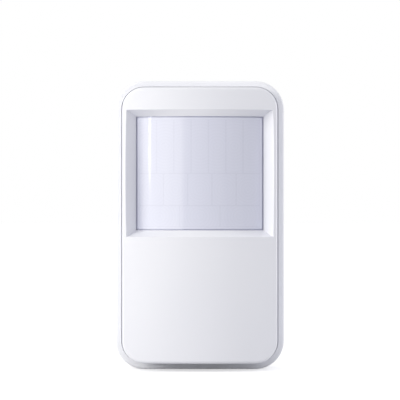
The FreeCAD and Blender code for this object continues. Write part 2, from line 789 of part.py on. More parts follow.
def arc_front(sketch, half, apex, side):
    """Region in front of an arc that reaches a depth at the middle and a lesser one at both sides."""
    rise = apex - side
    radius = (half * half + rise * rise) / (rise * 2)
    centre = radius - apex
    w, c, r, front = half.number, centre.number, radius.number, past_face.number
    turn = math.asin(w / r)
    full = Part.Circle(Vector(0, c, 0), Vector(0, 0, 1), r)
    sketch.addGeometry(Part.ArcOfCircle(full, -math.pi / 2 - turn, -math.pi / 2 + turn))
    foot_y = c - r * math.cos(turn)
    sketch.addGeometry(Part.LineSegment(Vector(w, foot_y, 0), Vector(w, -front, 0)))
    sketch.addGeometry(Part.LineSegment(Vector(w, -front, 0), Vector(-w, -front, 0)))
    sketch.addGeometry(Part.LineSegment(Vector(-w, -front, 0), Vector(-w, foot_y, 0)))
    for join in [(0, 2, 1, 1), (1, 2, 2, 1), (2, 2, 3, 1), (3, 2, 0, 1)]:
        sketch.addConstraint(Sketcher.Constraint("Coincident", *join))
    sketch.addConstraint(Sketcher.Constraint("Vertical", 1))
    sketch.addConstraint(Sketcher.Constraint("Vertical", 3))
    measure(sketch, "Radius", 0, None, radius)
    measure(sketch, "DistanceX", 0, 3, 0)
    measure(sketch, "DistanceY", 0, 3, centre)
    measure(sketch, "DistanceX", 2, 1, half)
    measure(sketch, "DistanceY", 2, 1, -past_face)
    measure(sketch, "DistanceX", 3, 1, -half)
    measure(sketch, "DistanceY", 3, 1, -past_face)


def window_form(name, widen):
    """The lens window with its four bevels, or the same form grown by a wall.

    Each bevel is ruled from a straight opening at the curved lens to a straight outline on the face.
    It is drawn on past the face. One body holds the side bevels, and one holds the other two.
    """
    overrun = s.bevel_overrun
    back = s.lens_depth - s.lens_radius * 0.35
    middle = s.window_rise
    inner = window_half_width + widen
    outer = inner + s.bevel_across * overrun
    lens_side = lens_at(window_half_width)
    reach_up = window_half_height + s.bevel_up * overrun + widen + 1

    sides = new_body(name + "_sides")
    sections = []
    for word, sign in (("low", -1), ("high", 1)):
        level = middle + reach_up * sign
        section = sketch_on(sides, f"{name}_sides_{word}", "XY_Plane", level)
        face_side = face_at(window_half_width + s.bevel_across, level) + s.window_sag
        far = lens_side + (face_side - lens_side) * overrun
        polygon(
            section,
            [
                (-outer, -past_face),
                (-outer, -far),
                (-inner, -lens_side),
                (-inner, -back),
                (inner, -back),
                (inner, -lens_side),
                (outer, -far),
                (outer, -past_face),
            ],
        )
        sections.append(section)
    loft = sides.newObject("PartDesign::AdditiveLoft", name + "_sides_loft")
    loft.Profile = sections[0]
    loft.Sections = sections[1:]
    loft.Ruled = True
    sides.Tip = loft

    ends = new_body(name + "_ends")
    half = outer + 1
    core = sketch_on(ends, name + "_core", "XY_Plane", middle - window_half_height - widen)
    polygon(core, [(-half, -past_face), (half, -past_face), (half, -back), (-half, -back)])
    pad(core, (window_half_height + widen) * 2)
    for word, sign in (("low", -1), ("high", 1)):
        inner_level = middle + (window_half_height + widen) * sign
        outer_level = inner_level + s.bevel_up * overrun * sign
        edge_level = middle + (window_half_height + s.bevel_up) * sign
        near = sketch_on(ends, f"{name}_{word}_inner", "XY_Plane", inner_level)
        arc_front(near, half, lens_at(as_size(0)), lens_at(half))
        depths = []
        for across in (as_size(0), half):
            start = lens_at(across)
            depths.append(start + (face_at(across, edge_level) - start) * overrun)
        far = sketch_on(ends, f"{name}_{word}_outer", "XY_Plane", outer_level)
        arc_front(far, half, *depths)
        wedge = ends.newObject("PartDesign::AdditiveLoft", f"{name}_{word}_loft")
        wedge.Profile = near
        wedge.Sections = [far]
        wedge.Ruled = True
        ends.Tip = wedge
    return common(name, sides, ends)


# Below the seam a skirt fills the base from wall to wall
skirt = new_body("cover_skirt")
skirt_outline = sketch_on(skirt, "cover_skirt_outline", offset=s.cover_seat)
rounded_rectangle(
    skirt_outline,
    cavity_width - s.skirt_gap * 2,
    cavity_height - s.skirt_gap * 2,
    s.outline_radius - s.base_wall - s.skirt_gap,
)
skirt.Tip = pad(skirt_outline, s.base_depth - s.seam_depth - s.cover_seat)

outer_form = fused("cover_with_skirt", [cover_form("cover_outside", as_size(0)), skirt])
room = cover_form("cover_inside", s.cover_wall)
outer_rounded = rounded(
    "cover_outside_rounded",
    outer_form,
    s.cover_round,
    lambda edge: depth_range(edge)[0] > s.cover_seat.number + 10,
)

funnel_block = window_form("funnel", s.funnel_wall)
window = window_form("window", as_size(0))

# The lens flange lies against the back of the funnel
lens_seat = rod(
    "lens_seat_round",
    s.lens_radius + s.seat_gap,
    s.housing_height,
    0,
    lens_axis,
    -s.housing_height * 0.5,
    Rotation(),
)
funnel = cut("funnel_trimmed", funnel_block, lens_seat)
hollow = cut("cover_hollow", room, funnel)
shell = cut("cover_shell", outer_rounded, hollow)

# Parts moulded on the inside of the cover
stake_rises = [s.window_rise - s.stake_up, s.window_rise + s.stake_up]
stake_spots = [(s.stake_across * side, rise) for side in (-1, 1) for rise in stake_rises]
retainer_front = s.lens_radius - s.lens_thickness - s.seat_gap
ear_back = lens_axis + root(retainer_front * retainer_front - s.stake_across * s.stake_across)
ear_back = ear_back - s.retainer_thickness
ear_front = ear_back + s.retainer_thickness

added = []
for number, (across, rise) in enumerate(stake_spots, start=1):
    in_wall = face_at(across, rise) - s.cover_wall * 0.5
    boss_start = ear_front + s.seat_gap
    added.append(
        rod(
            f"stake_{number}_boss",
            s.stake_head_radius + 0.5,
            in_wall - boss_start,
            across,
            boss_start,
            rise,
        )
    )
    pin_start = ear_back - s.seat_gap - s.stake_head * 0.5
    added.append(
        rod(f"stake_{number}_pin", s.stake_radius, in_wall - pin_start, across, pin_start, rise)
    )
    head_start = ear_back - s.seat_gap - s.stake_head
    added.append(
        rod(f"stake_{number}_head", s.stake_head_radius, s.stake_head, across, head_start, rise)
    )

# A post that holds the tamper switch down while the cover is shut
board_top = s.board_depth + s.board_thickness
plunger_top = board_top + s.tamper_height + s.plunger_height
post_start = plunger_top + s.seat_gap
post_end = face_at(s.tamper_across, s.tamper_rise) - s.cover_wall * 0.5
added.append(
    rod(
        "tamper_post",
        s.tamper_post_radius,
        post_end - post_start,
        s.tamper_across,
        post_start,
        s.tamper_rise,
    )
)

# The boss that the cover screw cuts into
cover_foot = -cover_height * 0.5
boss_low = cover_foot + s.cover_wall * 0.5
added.append(
    block(
        "screw_boss",
        s.screw_boss_width,
        s.screw_boss_front - s.cover_seat,
        s.screw_boss_height,
        0,
        s.cover_seat,
        boss_low + s.screw_boss_height * 0.5,
    )
)

# Hooks along the top edge
tongue_top = cover_height * 0.5 - s.hook_clearance
tongue_middle = tongue_top - s.hook_thickness * 0.5
nib_top = half_cavity_height + s.pocket_depth - s.hook_clearance
for side in (-1, 1):
    word = "left" if side < 0 else "right"
    added.append(
        block(
            f"hook_{word}_tongue",
            s.hook_width,
            s.hook_length + s.cover_wall,
            s.hook_thickness,
            s.hook_across * side,
            hook_end,
            tongue_middle,
        )
    )
    added.append(
        block(
            f"hook_{word}_nib",
            s.hook_width,
            s.nib_length,
            nib_top - tongue_middle,
            s.hook_across * side,
            hook_end,
            (nib_top + tongue_middle) * 0.5,
        )
    )
cover_solid = fused("cover_with_posts", [shell] + added)

flange_width = s.window_width + (s.lens_flange + s.fit_gap) * 2
flange_height = s.window_height + (s.lens_flange + s.fit_gap) * 2
flange_room = block(
    "lens_seat_box",
    flange_width,
    s.lens_depth,
    flange_height,
    0,
    s.lens_depth * 0.3,
    s.window_rise,
)
post_bore = rod(
    "tamper_post_bore",
    s.tamper_post_bore,
    (post_end - post_start) * 0.7,
    s.tamper_across,
    post_start - 1,
    s.tamper_rise,
)
screw_tip = foot + screw_recess + s.screw_length
cover_pilot = rod(
    "cover_screw_pilot",
    s.screw_radius + s.seat_gap,
    screw_tip - cover_foot + s.cover_wall * 0.7,
    0,
    s.screw_depth,
    cover_foot - s.cover_wall * 0.5,
    Rotation(),
)
cover_cuts = fused(
    "cover_cuts", [window, common("lens_seat", lens_seat, flange_room), post_bore, cover_pilot]
)
finished(cut("front_cover", cover_solid, cover_cuts), "front_cover")

# The Fresnel lens: a sheet curved about an upright axis, with its field standing in the window


def upright_sheet(name, outside, inside, width, height, middle):
    """Part of an upright tube about the lens axis, in front of the wall, cut to a rectangle."""
    outer = rod(name + "_outside", outside, height, 0, lens_axis, middle - height * 0.5, Rotation())
    inner = rod(
        name + "_inside", inside, height + 2, 0, lens_axis, middle - height * 0.5 - 1, Rotation()
    )
    front = block(
        name + "_outline", width, s.housing_depth, height, 0, s.lens_depth * 0.3, middle
    )
    return common(name, cut(name + "_tube", outer, inner), front)


lens_back = s.lens_radius - s.lens_thickness
field_width = s.window_width - s.lens_margin * 2
field_height = s.window_height - s.lens_margin * 2
lens_flange = upright_sheet(
    "lens_flange",
    s.lens_radius,
    lens_back,
    s.window_width + s.lens_flange * 2,
    s.window_height + s.lens_flange * 2,
    s.window_rise,
)
lens_block = upright_sheet(
    "lens_field", lens_front, lens_back, field_width, field_height, s.window_rise
)
field_back = lens_front - s.lens_thickness
lens_hollow = upright_sheet(
    "lens_hollow",
    field_back,
    lens_back - 1,
    field_width - s.lens_thickness * 2,
    field_height - s.lens_thickness * 2,
    s.window_rise,
)
lens_sheet = cut("lens_sheet", fused("lens_step", [lens_flange, lens_block]), lens_hollow)

# Lines between the lens tiles, moulded in the back of the field: three rows, from many tiles to few
tile_rows = [(0.5, 7), (0.3, 5), (0.2, 3)]
groove_radius = field_back + s.tile_groove_depth
tile_width = field_width - s.lens_thickness * 2
tile_height = field_height - s.lens_thickness * 2
tile_lines = []
row_top = s.window_rise + tile_height * 0.5
for row, (share, tiles) in enumerate(tile_rows, start=1):
    row_height = tile_height * share
    row_low = row_top - row_height
    if row < len(tile_rows):
        tile_lines.append(
            upright_sheet(
                f"tile_row_{row}_line",
                groove_radius,
                lens_back - 1,
                tile_width,
                s.tile_groove,
                row_low,
            )
        )
    for line in range(1, tiles):
        across = tile_width * (line / tiles - 0.5)
        depth = lens_axis + root(field_back * field_back - across * across)
        bar = block(
            f"tile_row_{row}_line_{line}",
            s.tile_groove,
            s.tile_groove_depth + 1,
            row_height,
            across,
            depth - 1,
            row_top - row_height * 0.5,
        )
        tile_lines.append(bar)
    row_top = row_low
finished(
    cut("fresnel_lens", lens_sheet, fused("tile_lines", tile_lines)), "fresnel_lens"
)

# The frame that the heat stakes hold against the back of the lens
retainer_width = s.window_width + s.lens_flange * 2
retainer_height = s.window_height + s.retainer_bar * 2
retainer_sheet = upright_sheet(
    "retainer_sheet",
    retainer_front,
    retainer_front - s.retainer_thickness,
    retainer_width,
    retainer_height,
    s.window_rise,
)
ears = []
for number, (across, rise) in enumerate(stake_spots, start=1):
    away = -1 if number % 2 else 1
    edge = s.window_rise + (retainer_height * 0.5) * away
    ear_length = s.ear_reach + 1
    ears.append(
        block(
            f"ear_{number}",
            s.ear_width,
            s.retainer_thickness,
            ear_length,
            across,
            ear_back,
            edge + (ear_length * 0.5 - 1) * away,
        )
    )
retainer_cuts = [
    block(
        "retainer_opening",
        field_width - s.lens_thickness * 2,
        s.housing_depth,
        field_height - s.lens_thickness * 2,
        0,
        s.lens_depth * 0.3,
        s.window_rise,
    )
]
for number, (across, rise) in enumerate(stake_spots, start=1):
    retainer_cuts.append(
        rod(
            f"ear_hole_{number}",
            s.stake_radius + s.fit_gap,
            s.retainer_thickness + 2,
            across,
            ear_back - 1,
            rise,
        )
    )
finished(
    cut(
        "lens_retainer",
        fused("retainer_with_ears", [retainer_sheet] + ears),
        fused("retainer_cuts", retainer_cuts),
    ),
    "lens_retainer",
)

# The screw that holds the cover at the bottom
screw_head_low = foot + s.screw_recess
screw_head = rod(
    "cover_screw_head", s.screw_head_radius, s.screw_head, 0, s.screw_depth, screw_head_low, Rotation()
)
screw_shank = rod(
    "cover_screw_shank",
    s.screw_radius,
    s.screw_length + s.screw_head * 0.5,
    0,
    s.screw_depth,
    screw_head_low + s.screw_head * 0.5,
    Rotation(),
)
slots = []
for name, width, thickness in (
    ("across", s.slot_length, s.slot_width),
    ("along", s.slot_width, s.slot_length),
):
    slots.append(
        block(
            f"screw_slot_{name}",
            width,
            thickness,
            s.slot_depth + 1,
            0,
            s.screw_depth - thickness * 0.5,
            screw_head_low + (s.slot_depth - 1) * 0.5,
        )
    )
screw_round = rounded(
    "cover_screw_head_round",
    screw_head,
    s.screw_head * 0.5,
    lambda edge: edge.BoundBox.ZMax < screw_head_low.number + 0.01,
)
finished(
    cut(
        "cover_screw",
        fused("cover_screw_whole", [screw_round, screw_shank]),
        fused("cover_screw_slots", slots),
    ),
    "cover_screw",
)

# The circuit board
board = new_body("circuit_board")
board_outline = sketch_on(board, "board_outline", offset=s.board_depth)
rounded_rectangle(board_outline, s.board_width, s.board_height, s.board_radius)
pad(board_outline, s.board_thickness)
board_holes = sketch_on(board, "board_holes", offset=s.board_depth)
for side in (-1, 1):
    circle(
        board_holes,
        s.board_screw_radius + s.fit_gap * 2,
        s.board_screw_across * side,
        s.board_screw_rise,
    )
for rise in wall_holes:
    circle(board_holes, s.access_radius, 0, rise)
pin_hole = s.pin_radius + s.fit_gap
pin_spots = [
    (
        s.sensor_pin_circle * round(math.cos(math.radians(angle)), 4),
        s.window_rise + s.sensor_pin_circle * round(math.sin(math.radians(angle)), 4),
    )
    for angle in (45, 135, 270)
]
for across, rise in pin_spots:
    circle(board_holes, pin_hole, across, rise)
for side in (-1, 1):
    circle(
        board_holes, pin_hole, s.lamp_lead_spacing * (0.5 * side) - s.lamp_across, s.lamp_rise
    )
board.Tip = pocket(board_holes, s.board_thickness + 1)
finished(board, "circuit_board")

screws = []
for side in (-1, 1):
    word = "left" if side < 0 else "right"
    across = s.board_screw_across * side
    head = rod(
        f"board_screw_{word}_head",
        s.board_screw_head_radius,
        s.board_screw_head,
        across,
        board_top + s.seat_gap,
        s.board_screw_rise,
    )
    head_round = rounded(
        f"board_screw_{word}_round",
        head,
        s.board_screw_head * 0.5,
        lambda edge: depth_range(edge)[0] > (board_top + s.board_screw_head).number,
    )
    shank_length = s.board_thickness + s.board_screw_bite
    shank = rod(
        f"board_screw_{word}_shank",
        s.board_screw_radius,
        shank_length + 1,
        across,
        board_top - shank_length,
        s.board_screw_rise,
    )
    whole = fused(f"board_screw_{word}_whole", [head_round, shank])
    slot = block(
        f"board_screw_{word}_slot",
        s.board_screw_head_radius * 1.3,
        s.board_screw_head,
        s.slot_width,
        across,
        board_top + s.board_screw_head * 0.5,
        s.board_screw_rise,
    )
    screws.append(cut(f"board_screw_{word}", whole, slot))
finished(group("board_screws", screws), "board_screws")

# The infrared sensor: spacer, header, can with its filter window, element and three pins
sensor_up = s.window_rise
spacer_back = board_top + s.seat_gap
spacer = rod(
    "spacer_disc", s.sensor_flange_radius, s.sensor_spacer - s.seat_gap, 0, spacer_back, sensor_up
)
header_back = board_top + s.sensor_spacer + s.seat_gap
can_back = header_back + s.sensor_flange
can_front = header_back + s.sensor_can_height
header = rod(
    "header_disc", s.sensor_flange_radius, s.sensor_flange - s.seat_gap, 0, header_back, sensor_up
)
spacer_holes = []
header_holes = []
pins = []
pin_back = s.board_depth - s.pin_stub
pin_front = header_back + s.sensor_flange + s.pin_head
for number, (across, rise) in enumerate(pin_spots, start=1):
    spacer_holes.append(
        rod(f"spacer_hole_{number}", pin_hole, s.sensor_spacer + 2, across, board_top - 0.5, rise)
    )
    header_holes.append(
        rod(f"header_hole_{number}", pin_hole, s.sensor_flange + 2, across, header_back - 1, rise)
    )
    pins.append(
        rod(f"sensor_pin_{number}", s.pin_radius, pin_front - pin_back, across, pin_back, rise)
    )
finished(cut("sensor_spacer", spacer, fused("spacer_holes", spacer_holes)), "sensor_spacer")
finished(cut("sensor_header", header, fused("header_holes", header_holes)), "sensor_header")
finished(group("sensor_pins", pins), "sensor_pins")

can_length = s.sensor_can_height - s.sensor_flange
can_outside = rod("can_outside", s.sensor_can_radius, can_length, 0, can_back, sensor_up)
can_foot = rod("can_foot", s.sensor_flange_radius, s.sensor_skin, 0, can_back, sensor_up)
can_inside = rod(
    "can_inside",
    s.sensor_can_radius - s.sensor_skin,
    can_length - s.sensor_skin + 1,
    0,
    can_back - 1,
    sensor_up,
)
can_window = block(
    "can_window",
    s.sensor_window_width,
    can_length,
    s.sensor_window_height,
    0,
    can_front - s.sensor_skin * 2,
    sensor_up,
)
finished(
    cut(
        "sensor_can",
        fused("can_whole", [can_outside, can_foot]),
        fused("can_openings", [can_inside, can_window]),
    ),
    "sensor_can",
)
filter_size = s.sensor_skin * 1.5
finished(
    block(
        "sensor_filter",
        s.sensor_window_width + s.filter_margin * 2,
        filter_size,
        s.sensor_window_height + s.filter_margin * 2,
        0,
        can_front - s.sensor_skin - filter_size - s.seat_gap,
        sensor_up,
    ),
    "sensor_filter",
)
element_back = pin_front + s.element_gap
element_board = block(
    "element_board",
    s.element_width,
    s.element_sheet,
    s.element_height,
    0,
    element_back,
    sensor_up,
)
element_parts = [element_board]
for side in (-1, 1):
    word = "left" if side < 0 else "right"
    plate = block(
        f"element_plate_{word}",
        s.element_plate_width,
        s.element_plate_depth,
        s.element_plate_height,
        s.element_width * (0.25 * side),
        element_back + s.element_sheet,
        sensor_up,
    )
    element_parts.append(plate)
finished(fused("sensor_element", element_parts), "sensor_element")

# The indicator lamp behind the lens
lamp_back = board_top + s.seat_gap
lamp_dome_start = lamp_back + s.lamp_height - s.lamp_radius
lamp_body = rod(
    "lamp_body", s.lamp_radius, s.lamp_height - s.lamp_radius, -s.lamp_across, lamp_back, s.lamp_rise
)
lamp_rim = rod("lamp_rim", s.lamp_radius + 0.3, 0.8, -s.lamp_across, lamp_back, s.lamp_rise)
lamp_dome = doc.addObject("Part::Sphere", "lamp_dome")
lamp_dome.Radius = s.lamp_radius.number
bind(lamp_dome, "Radius", s.lamp_radius)
place(lamp_dome, -s.lamp_across, lamp_dome_start, s.lamp_rise)
lamp_whole = fused("lamp_whole", [lamp_body, lamp_rim, lamp_dome])
leads = []
for side in (-1, 1):
    word = "left" if side < 0 else "right"
    across = s.lamp_lead_spacing * (0.5 * side) - s.lamp_across
    lead_length = s.board_thickness + s.pin_stub
    leads.append(
        rod(
            f"lamp_lead_{word}", s.pin_radius, lead_length, across, board_top - lead_length, s.lamp_rise
        )
    )
finished(lamp_whole, "status_lamp")
finished(group("lamp_leads", leads), "lamp_leads")

# The cover switch, its plunger held down by the post in the cover
switch_front = board_top + s.tamper_height
switch_block = block(
    "switch_block",
    s.tamper_size,
    s.tamper_height - s.seat_gap,
    s.tamper_size,
    s.tamper_across,
    board_top + s.seat_gap,
    s.tamper_rise,
)
switch_bore = rod(
    "switch_bore",
    s.plunger_radius + s.fit_gap,
    s.tamper_height,
    s.tamper_across,
    board_top + 1,
    s.tamper_rise,
)
switch_edges = rounded(
    "switch_block_round",
    switch_block,
    0.5,
    lambda edge: depth_range(edge)[0] > (switch_front - 0.01).number,
)
finished(cut("tamper_switch", switch_edges, switch_bore), "tamper_switch")
plunger_back = board_top + 1 + s.seat_gap
plunger = rod(
    "plunger_rod",
    s.plunger_radius,
    plunger_top - plunger_back,
    s.tamper_across,
    plunger_back,
    s.tamper_rise,
)
finished(
    rounded(
        "tamper_plunger",
        plunger,
        0.4,
        lambda edge: depth_range(edge)[0] > plunger_top.number - 0.01,
    ),
    "tamper_plunger",
)

# The battery holder, the cell, its terminal, a spring at one end and a leaf at the other
holder_back = board_top + s.seat_gap
cell_axis = holder_back + s.holder_floor + s.seat_gap + s.cell_radius
holder_inner = s.holder_length - s.holder_wall * 2
holder_width = (s.cell_radius + s.holder_gap + s.holder_wall) * 2
holder_block = block(
    "holder_block", s.holder_length, s.holder_height, holder_width, 0, holder_back, s.cell_rise
)
holder_room = block(
    "holder_room",
    holder_inner,
    s.holder_height,
    (s.cell_radius + s.holder_gap) * 2,
    0,
    holder_back + s.holder_floor,
    s.cell_rise,
)
holder_notch = rod(
    "holder_notch",
    s.holder_height * 0.55,
    holder_width + 2,
    0,
    holder_back + s.holder_height,
    s.cell_rise - holder_width * 0.5 - 1,
    Rotation(),
)
finished(
    cut("battery_holder", holder_block, fused("holder_openings", [holder_room, holder_notch])),
    "battery_holder",
)

half_inner = holder_inner * 0.5
leaf_back = half_inner - s.contact_thickness - s.seat_gap
cell_end = leaf_back - s.seat_gap - s.terminal_height
cell_start = cell_end - s.cell_length
cell_body = rod(
    "cell_body", s.cell_radius, s.cell_length, cell_start, cell_axis, s.cell_rise, ACROSS
)
finished(
    rounded("battery_cell", cell_body, 0.7, lambda edge: isinstance(edge.Curve, Part.Circle)),
    "battery_cell",
)
finished(
    rod(
        "battery_terminal",
        s.terminal_radius,
        s.terminal_height,
        cell_end,
        cell_axis,
        s.cell_rise,
        ACROSS,
    ),
    "battery_terminal",
)
contact_height = s.holder_height - s.holder_floor - 1
leaf = block(
    "leaf_sheet",
    s.contact_thickness,
    contact_height,
    s.contact_width,
    leaf_back + s.contact_thickness * 0.5,
    holder_back + s.holder_floor + s.seat_gap,
    s.cell_rise,
)
finished(leaf, "battery_leaf")
plate_middle = s.contact_thickness * 0.5 + s.seat_gap - half_inner
spring_plate = block(
    "spring_plate",
    s.contact_thickness,
    contact_height,
    s.contact_width,
    plate_middle,
    holder_back + s.holder_floor + s.seat_gap,
    s.cell_rise,
)


def coil(name, radius, wire, length, turns, across, depth, up):
    """A wire wound about an axis that runs across."""
    helix = doc.addObject("Part::Helix", name + "_helix")
    for side, size in (("Radius", radius), ("Height", length), ("Pitch", length / turns)):
        setattr(helix, side, as_size(size).number)
        bind(helix, side, size)
    place(helix, across, depth, up, ACROSS)
    section = doc.addObject("Part::Circle", name + "_wire")
    section.Radius = wire.number
    bind(section, "Radius", wire)
    place(section, across, depth, up - radius, OUT_OF_WALL)
    swept = doc.addObject("Part::Sweep", name)
    swept.Sections = [section]
    swept.Spine = (helix, [])
    swept.Solid = True
    swept.Frenet = True
    return swept


spring_start = plate_middle + s.contact_thickness * 0.5 + s.spring_wire * 0.6
spring_length = cell_start - s.spring_wire - s.seat_gap - spring_start
spring = coil(
    "battery_spring_coil",
    s.spring_radius,
    s.spring_wire,
    spring_length,
    s.spring_turns,
    spring_start,
    cell_axis,
    s.cell_rise,
)
finished(fused("battery_spring", [spring_plate, spring]), "battery_spring")

# The antenna, a coil over the board's upper edge, with two straight ends down to the board
antenna_depth = board_top + s.antenna_radius + s.antenna_wire + 0.6
antenna_start = s.antenna_length * -0.5
antenna = coil(
    "antenna_winding",
    s.antenna_radius,
    s.antenna_wire,
    s.antenna_length,
    s.antenna_turns,
    antenna_start,
    antenna_depth,
    s.antenna_rise,
)
antenna_ends = []
for word, across in (("left", antenna_start), ("right", -antenna_start)):
    antenna_ends.append(
        rod(
            f"antenna_end_{word}",
            s.antenna_wire,
            antenna_depth - board_top - s.seat_gap,
            across,
            board_top + s.seat_gap,
            s.antenna_rise - s.antenna_radius,
        )
    )
finished(fused("antenna_coil", [antenna] + antenna_ends), "antenna_coil")

# The radio module and its can
radio_back = board_top + s.seat_gap
finished(
    block(
        "radio_board",
        s.radio_width,
        s.radio_sheet,
        s.radio_height,
        -s.radio_left,
        radio_back,
        -s.radio_below,
    ),
    "radio_board",
)
shield_back = radio_back + s.radio_sheet + s.seat_gap
shield_front = shield_back + s.shield_depth
shield = block(
    "shield_block",
    s.shield_width,
    s.shield_depth,
    s.shield_height,
    -s.radio_left,
    shield_back,
    -s.radio_below,
)
shield_round = rounded(
    "shield_round",
    shield,
    s.shield_skin * 1.3,
    lambda edge: depth_range(edge)[1] > shield_front.number - 0.01,
)
shield_room = block(
    "shield_room",
    s.shield_width - s.shield_skin * 2,
    s.shield_depth - s.shield_skin + 1,
    s.shield_height - s.shield_skin * 2,
    -s.radio_left,
    shield_back - 1,
    -s.radio_below,
)
finished(cut("radio_shield", shield_round, shield_room), "radio_shield")


def chip(name, across, up, width, height):
    """A chip's moulded body, held a little above the board by its legs, with a dimple at pin one."""
    back = board_top + s.chip_lift
    body = block(f"{name}_block", width, s.chip_depth, height, across, back, up)
    inset = s.micro_size * 0.15
    dimple = rod(
        f"{name}_dimple",
        s.chip_lift * 1.5,
        1,
        across - width * 0.5 + inset,
        back + s.chip_depth * 0.9,
        up + height * 0.5 - inset,
    )
    return finished(cut(name, body, dimple), name)


def legs_along(name, across, up, reach, count, spacing, upright):
    """Bent legs in two rows: a foot on the board, a riser and a shoulder against the chip."""
    shoulder = s.chip_lift + s.chip_depth * 0.3
    shoulder_back = shoulder + s.seat_gap - s.leg_sheet
    parts = []
    for side in (-1, 1):
        for number in range(count):
            shift = spacing * (number - (count - 1) / 2)
            shapes = [
                ("foot", s.leg_width + 0.35, s.leg_width + 0.4, s.leg_sheet, s.seat_gap),
                ("riser", s.leg_width + 0.05, s.leg_sheet, shoulder, s.seat_gap),
                ("shoulder", s.leg_width * 0.75, s.leg_width + 0.1, s.leg_sheet, shoulder_back),
            ]
            pieces = []
            for word, beyond, length, thickness, lift in shapes:
                out = (reach + beyond) * side
                x, z = (shift, out) if upright else (out, shift)
                w, h = (s.leg_width, length) if upright else (length, s.leg_width)
                label = f"{name}_{side + 1}_{number}_{word}"
                pieces.append(block(label, w, thickness, h, across + x, board_top + lift, up + z))
            parts.append(fused(f"{name}_{side + 1}_{number}", pieces))
    return parts


micro_rise = s.window_rise - s.micro_below
micro_reach = s.micro_size * 0.5
chip("microcontroller", s.micro_right, micro_rise, s.micro_size, s.micro_size)
micro_legs = legs_along("micro_side", s.micro_right, micro_rise, micro_reach, 6, s.leg_pitch, False)
micro_legs += legs_along("micro_end", s.micro_right, micro_rise, micro_reach, 6, s.leg_pitch, True)
finished(group("microcontroller_legs", micro_legs), "microcontroller_legs")

amplifier_rise = s.window_rise + s.amplifier_above
chip("amplifier", s.amplifier_right, amplifier_rise, s.amplifier_width, s.amplifier_height)
amplifier_legs = legs_along(
    "amplifier_leg",
    s.amplifier_right,
    amplifier_rise,
    s.amplifier_height * 0.5,
    4,
    s.wide_leg_pitch,
    True,
)
finished(group("amplifier_legs", amplifier_legs), "amplifier_legs")

crystal_can = block(
    "crystal_block",
    s.crystal_width,
    s.crystal_depth,
    s.crystal_height,
    s.crystal_right,
    board_top + s.seat_gap,
    s.window_rise - s.crystal_below,
)
finished(
    rounded(
        "crystal",
        crystal_can,
        s.crystal_depth * 0.3,
        lambda edge: depth_range(edge)[0] > (board_top + s.crystal_depth * 0.8).number,
    ),
    "crystal",
)

# A storage capacitor: an aluminium can with a groove rolled in near its foot
store_rise = s.window_rise - s.store_below
store_can = rod(
    "store_can", s.store_radius, s.store_depth, s.store_right, board_top + s.seat_gap, store_rise
)
groove_back = board_top + s.store_depth * 0.2
groove_length = s.store_groove * 2
store_ring = cut(
    "store_ring",
    rod("store_ring_out", s.store_radius + 1, groove_length, s.store_right, groove_back, store_rise),
    rod(
        "store_ring_in",
        s.store_radius - s.store_groove,
        groove_length,
        s.store_right,
        groove_back,
        store_rise,
    ),
)
finished(cut("storage_capacitor", store_can, store_ring), "storage_capacitor")

# The settings pins and the cap that joins two of them
jumper_rise = s.window_rise - s.jumper_below
jumper_block = block(
    "jumper_block",
    s.jumper_body,
    s.jumper_body,
    s.jumper_pitch * 3,
    -s.jumper_left,
    board_top + s.seat_gap,
    jumper_rise,
)
jumper_bore = s.jumper_pin + s.fit_gap * 2
jumper_bores = []
jumper_pins = []
for number in range(3):
    rise = jumper_rise + s.jumper_pitch * (number - 1)
    jumper_bores.append(
        block(
            f"jumper_bore_{number}",
            jumper_bore,
            s.jumper_body + 2,
            jumper_bore,
            -s.jumper_left,
            board_top - 1,
            rise,
        )
    )
    jumper_pins.append(
        block(
            f"jumper_pin_{number}",
            s.jumper_pin,
            s.jumper_pin_length,
            s.jumper_pin,
            -s.jumper_left,
            board_top + s.seat_gap,
            rise,
        )
    )
finished(cut("jumper_header", jumper_block, fused("jumper_bores", jumper_bores)), "jumper_header")
finished(group("jumper_pins", jumper_pins), "jumper_pins")
cap_back = board_top + s.jumper_body + s.fit_gap * 2
cap_block = block(
    "cap_block",
    s.jumper_body,
    s.jumper_cap_length,
    s.jumper_pitch * 1.95,
    -s.jumper_left,
    cap_back,
    jumper_rise + s.jumper_pitch * 0.5,
)
cap_rooms = [
    block(
        f"cap_room_{number}",
        jumper_bore,
        s.jumper_cap_length + 2,
        jumper_bore,
        -s.jumper_left,
        cap_back - 1,
        jumper_rise + s.jumper_pitch * number,
    )
    for number in range(2)
]
finished(cut("jumper_cap", cap_block, fused("cap_rooms", cap_rooms)), "jumper_cap")

# Chip resistors and capacitors: distances right of the middle and above the window's middle, and
# whether the part stands upright
RESISTOR_SPOTS = [(-6, 7, 0), (-6, 10, 0), (7, 2, 1), (5, -15, 1), (20, -7, 0), (-16, 1, 1)]
CAPACITOR_SPOTS = [(-10, -6, 0), (7, -3, 1), (-4, -9, 0), (18, 1, 1), (-18, 7, 0)]


def small_parts(name, spots, length, width, thickness):
    parts = []
    front = (board_top + s.seat_gap + thickness).number
    for number, (across, above, upright) in enumerate(spots, start=1):
        w, h = (width, length) if upright else (length, width)
        chip_body = block(
            f"{name}_{number}",
            w,
            thickness,
            h,
            across,
            board_top + s.seat_gap,
            s.window_rise + above,
        )
        edges = rounded(
            f"{name}_{number}_round",
            chip_body,
            thickness * 0.15,
            lambda edge: depth_range(edge)[0] > front - 0.01,
        )
        parts.append(edges)
    return finished(group(name, parts), name)


small_parts("chip_resistors", RESISTOR_SPOTS, s.resistor_length, s.resistor_width, s.resistor_depth)
small_parts(
    "chip_capacitors", CAPACITOR_SPOTS, s.resistor_length, s.resistor_width, s.capacitor_depth
)

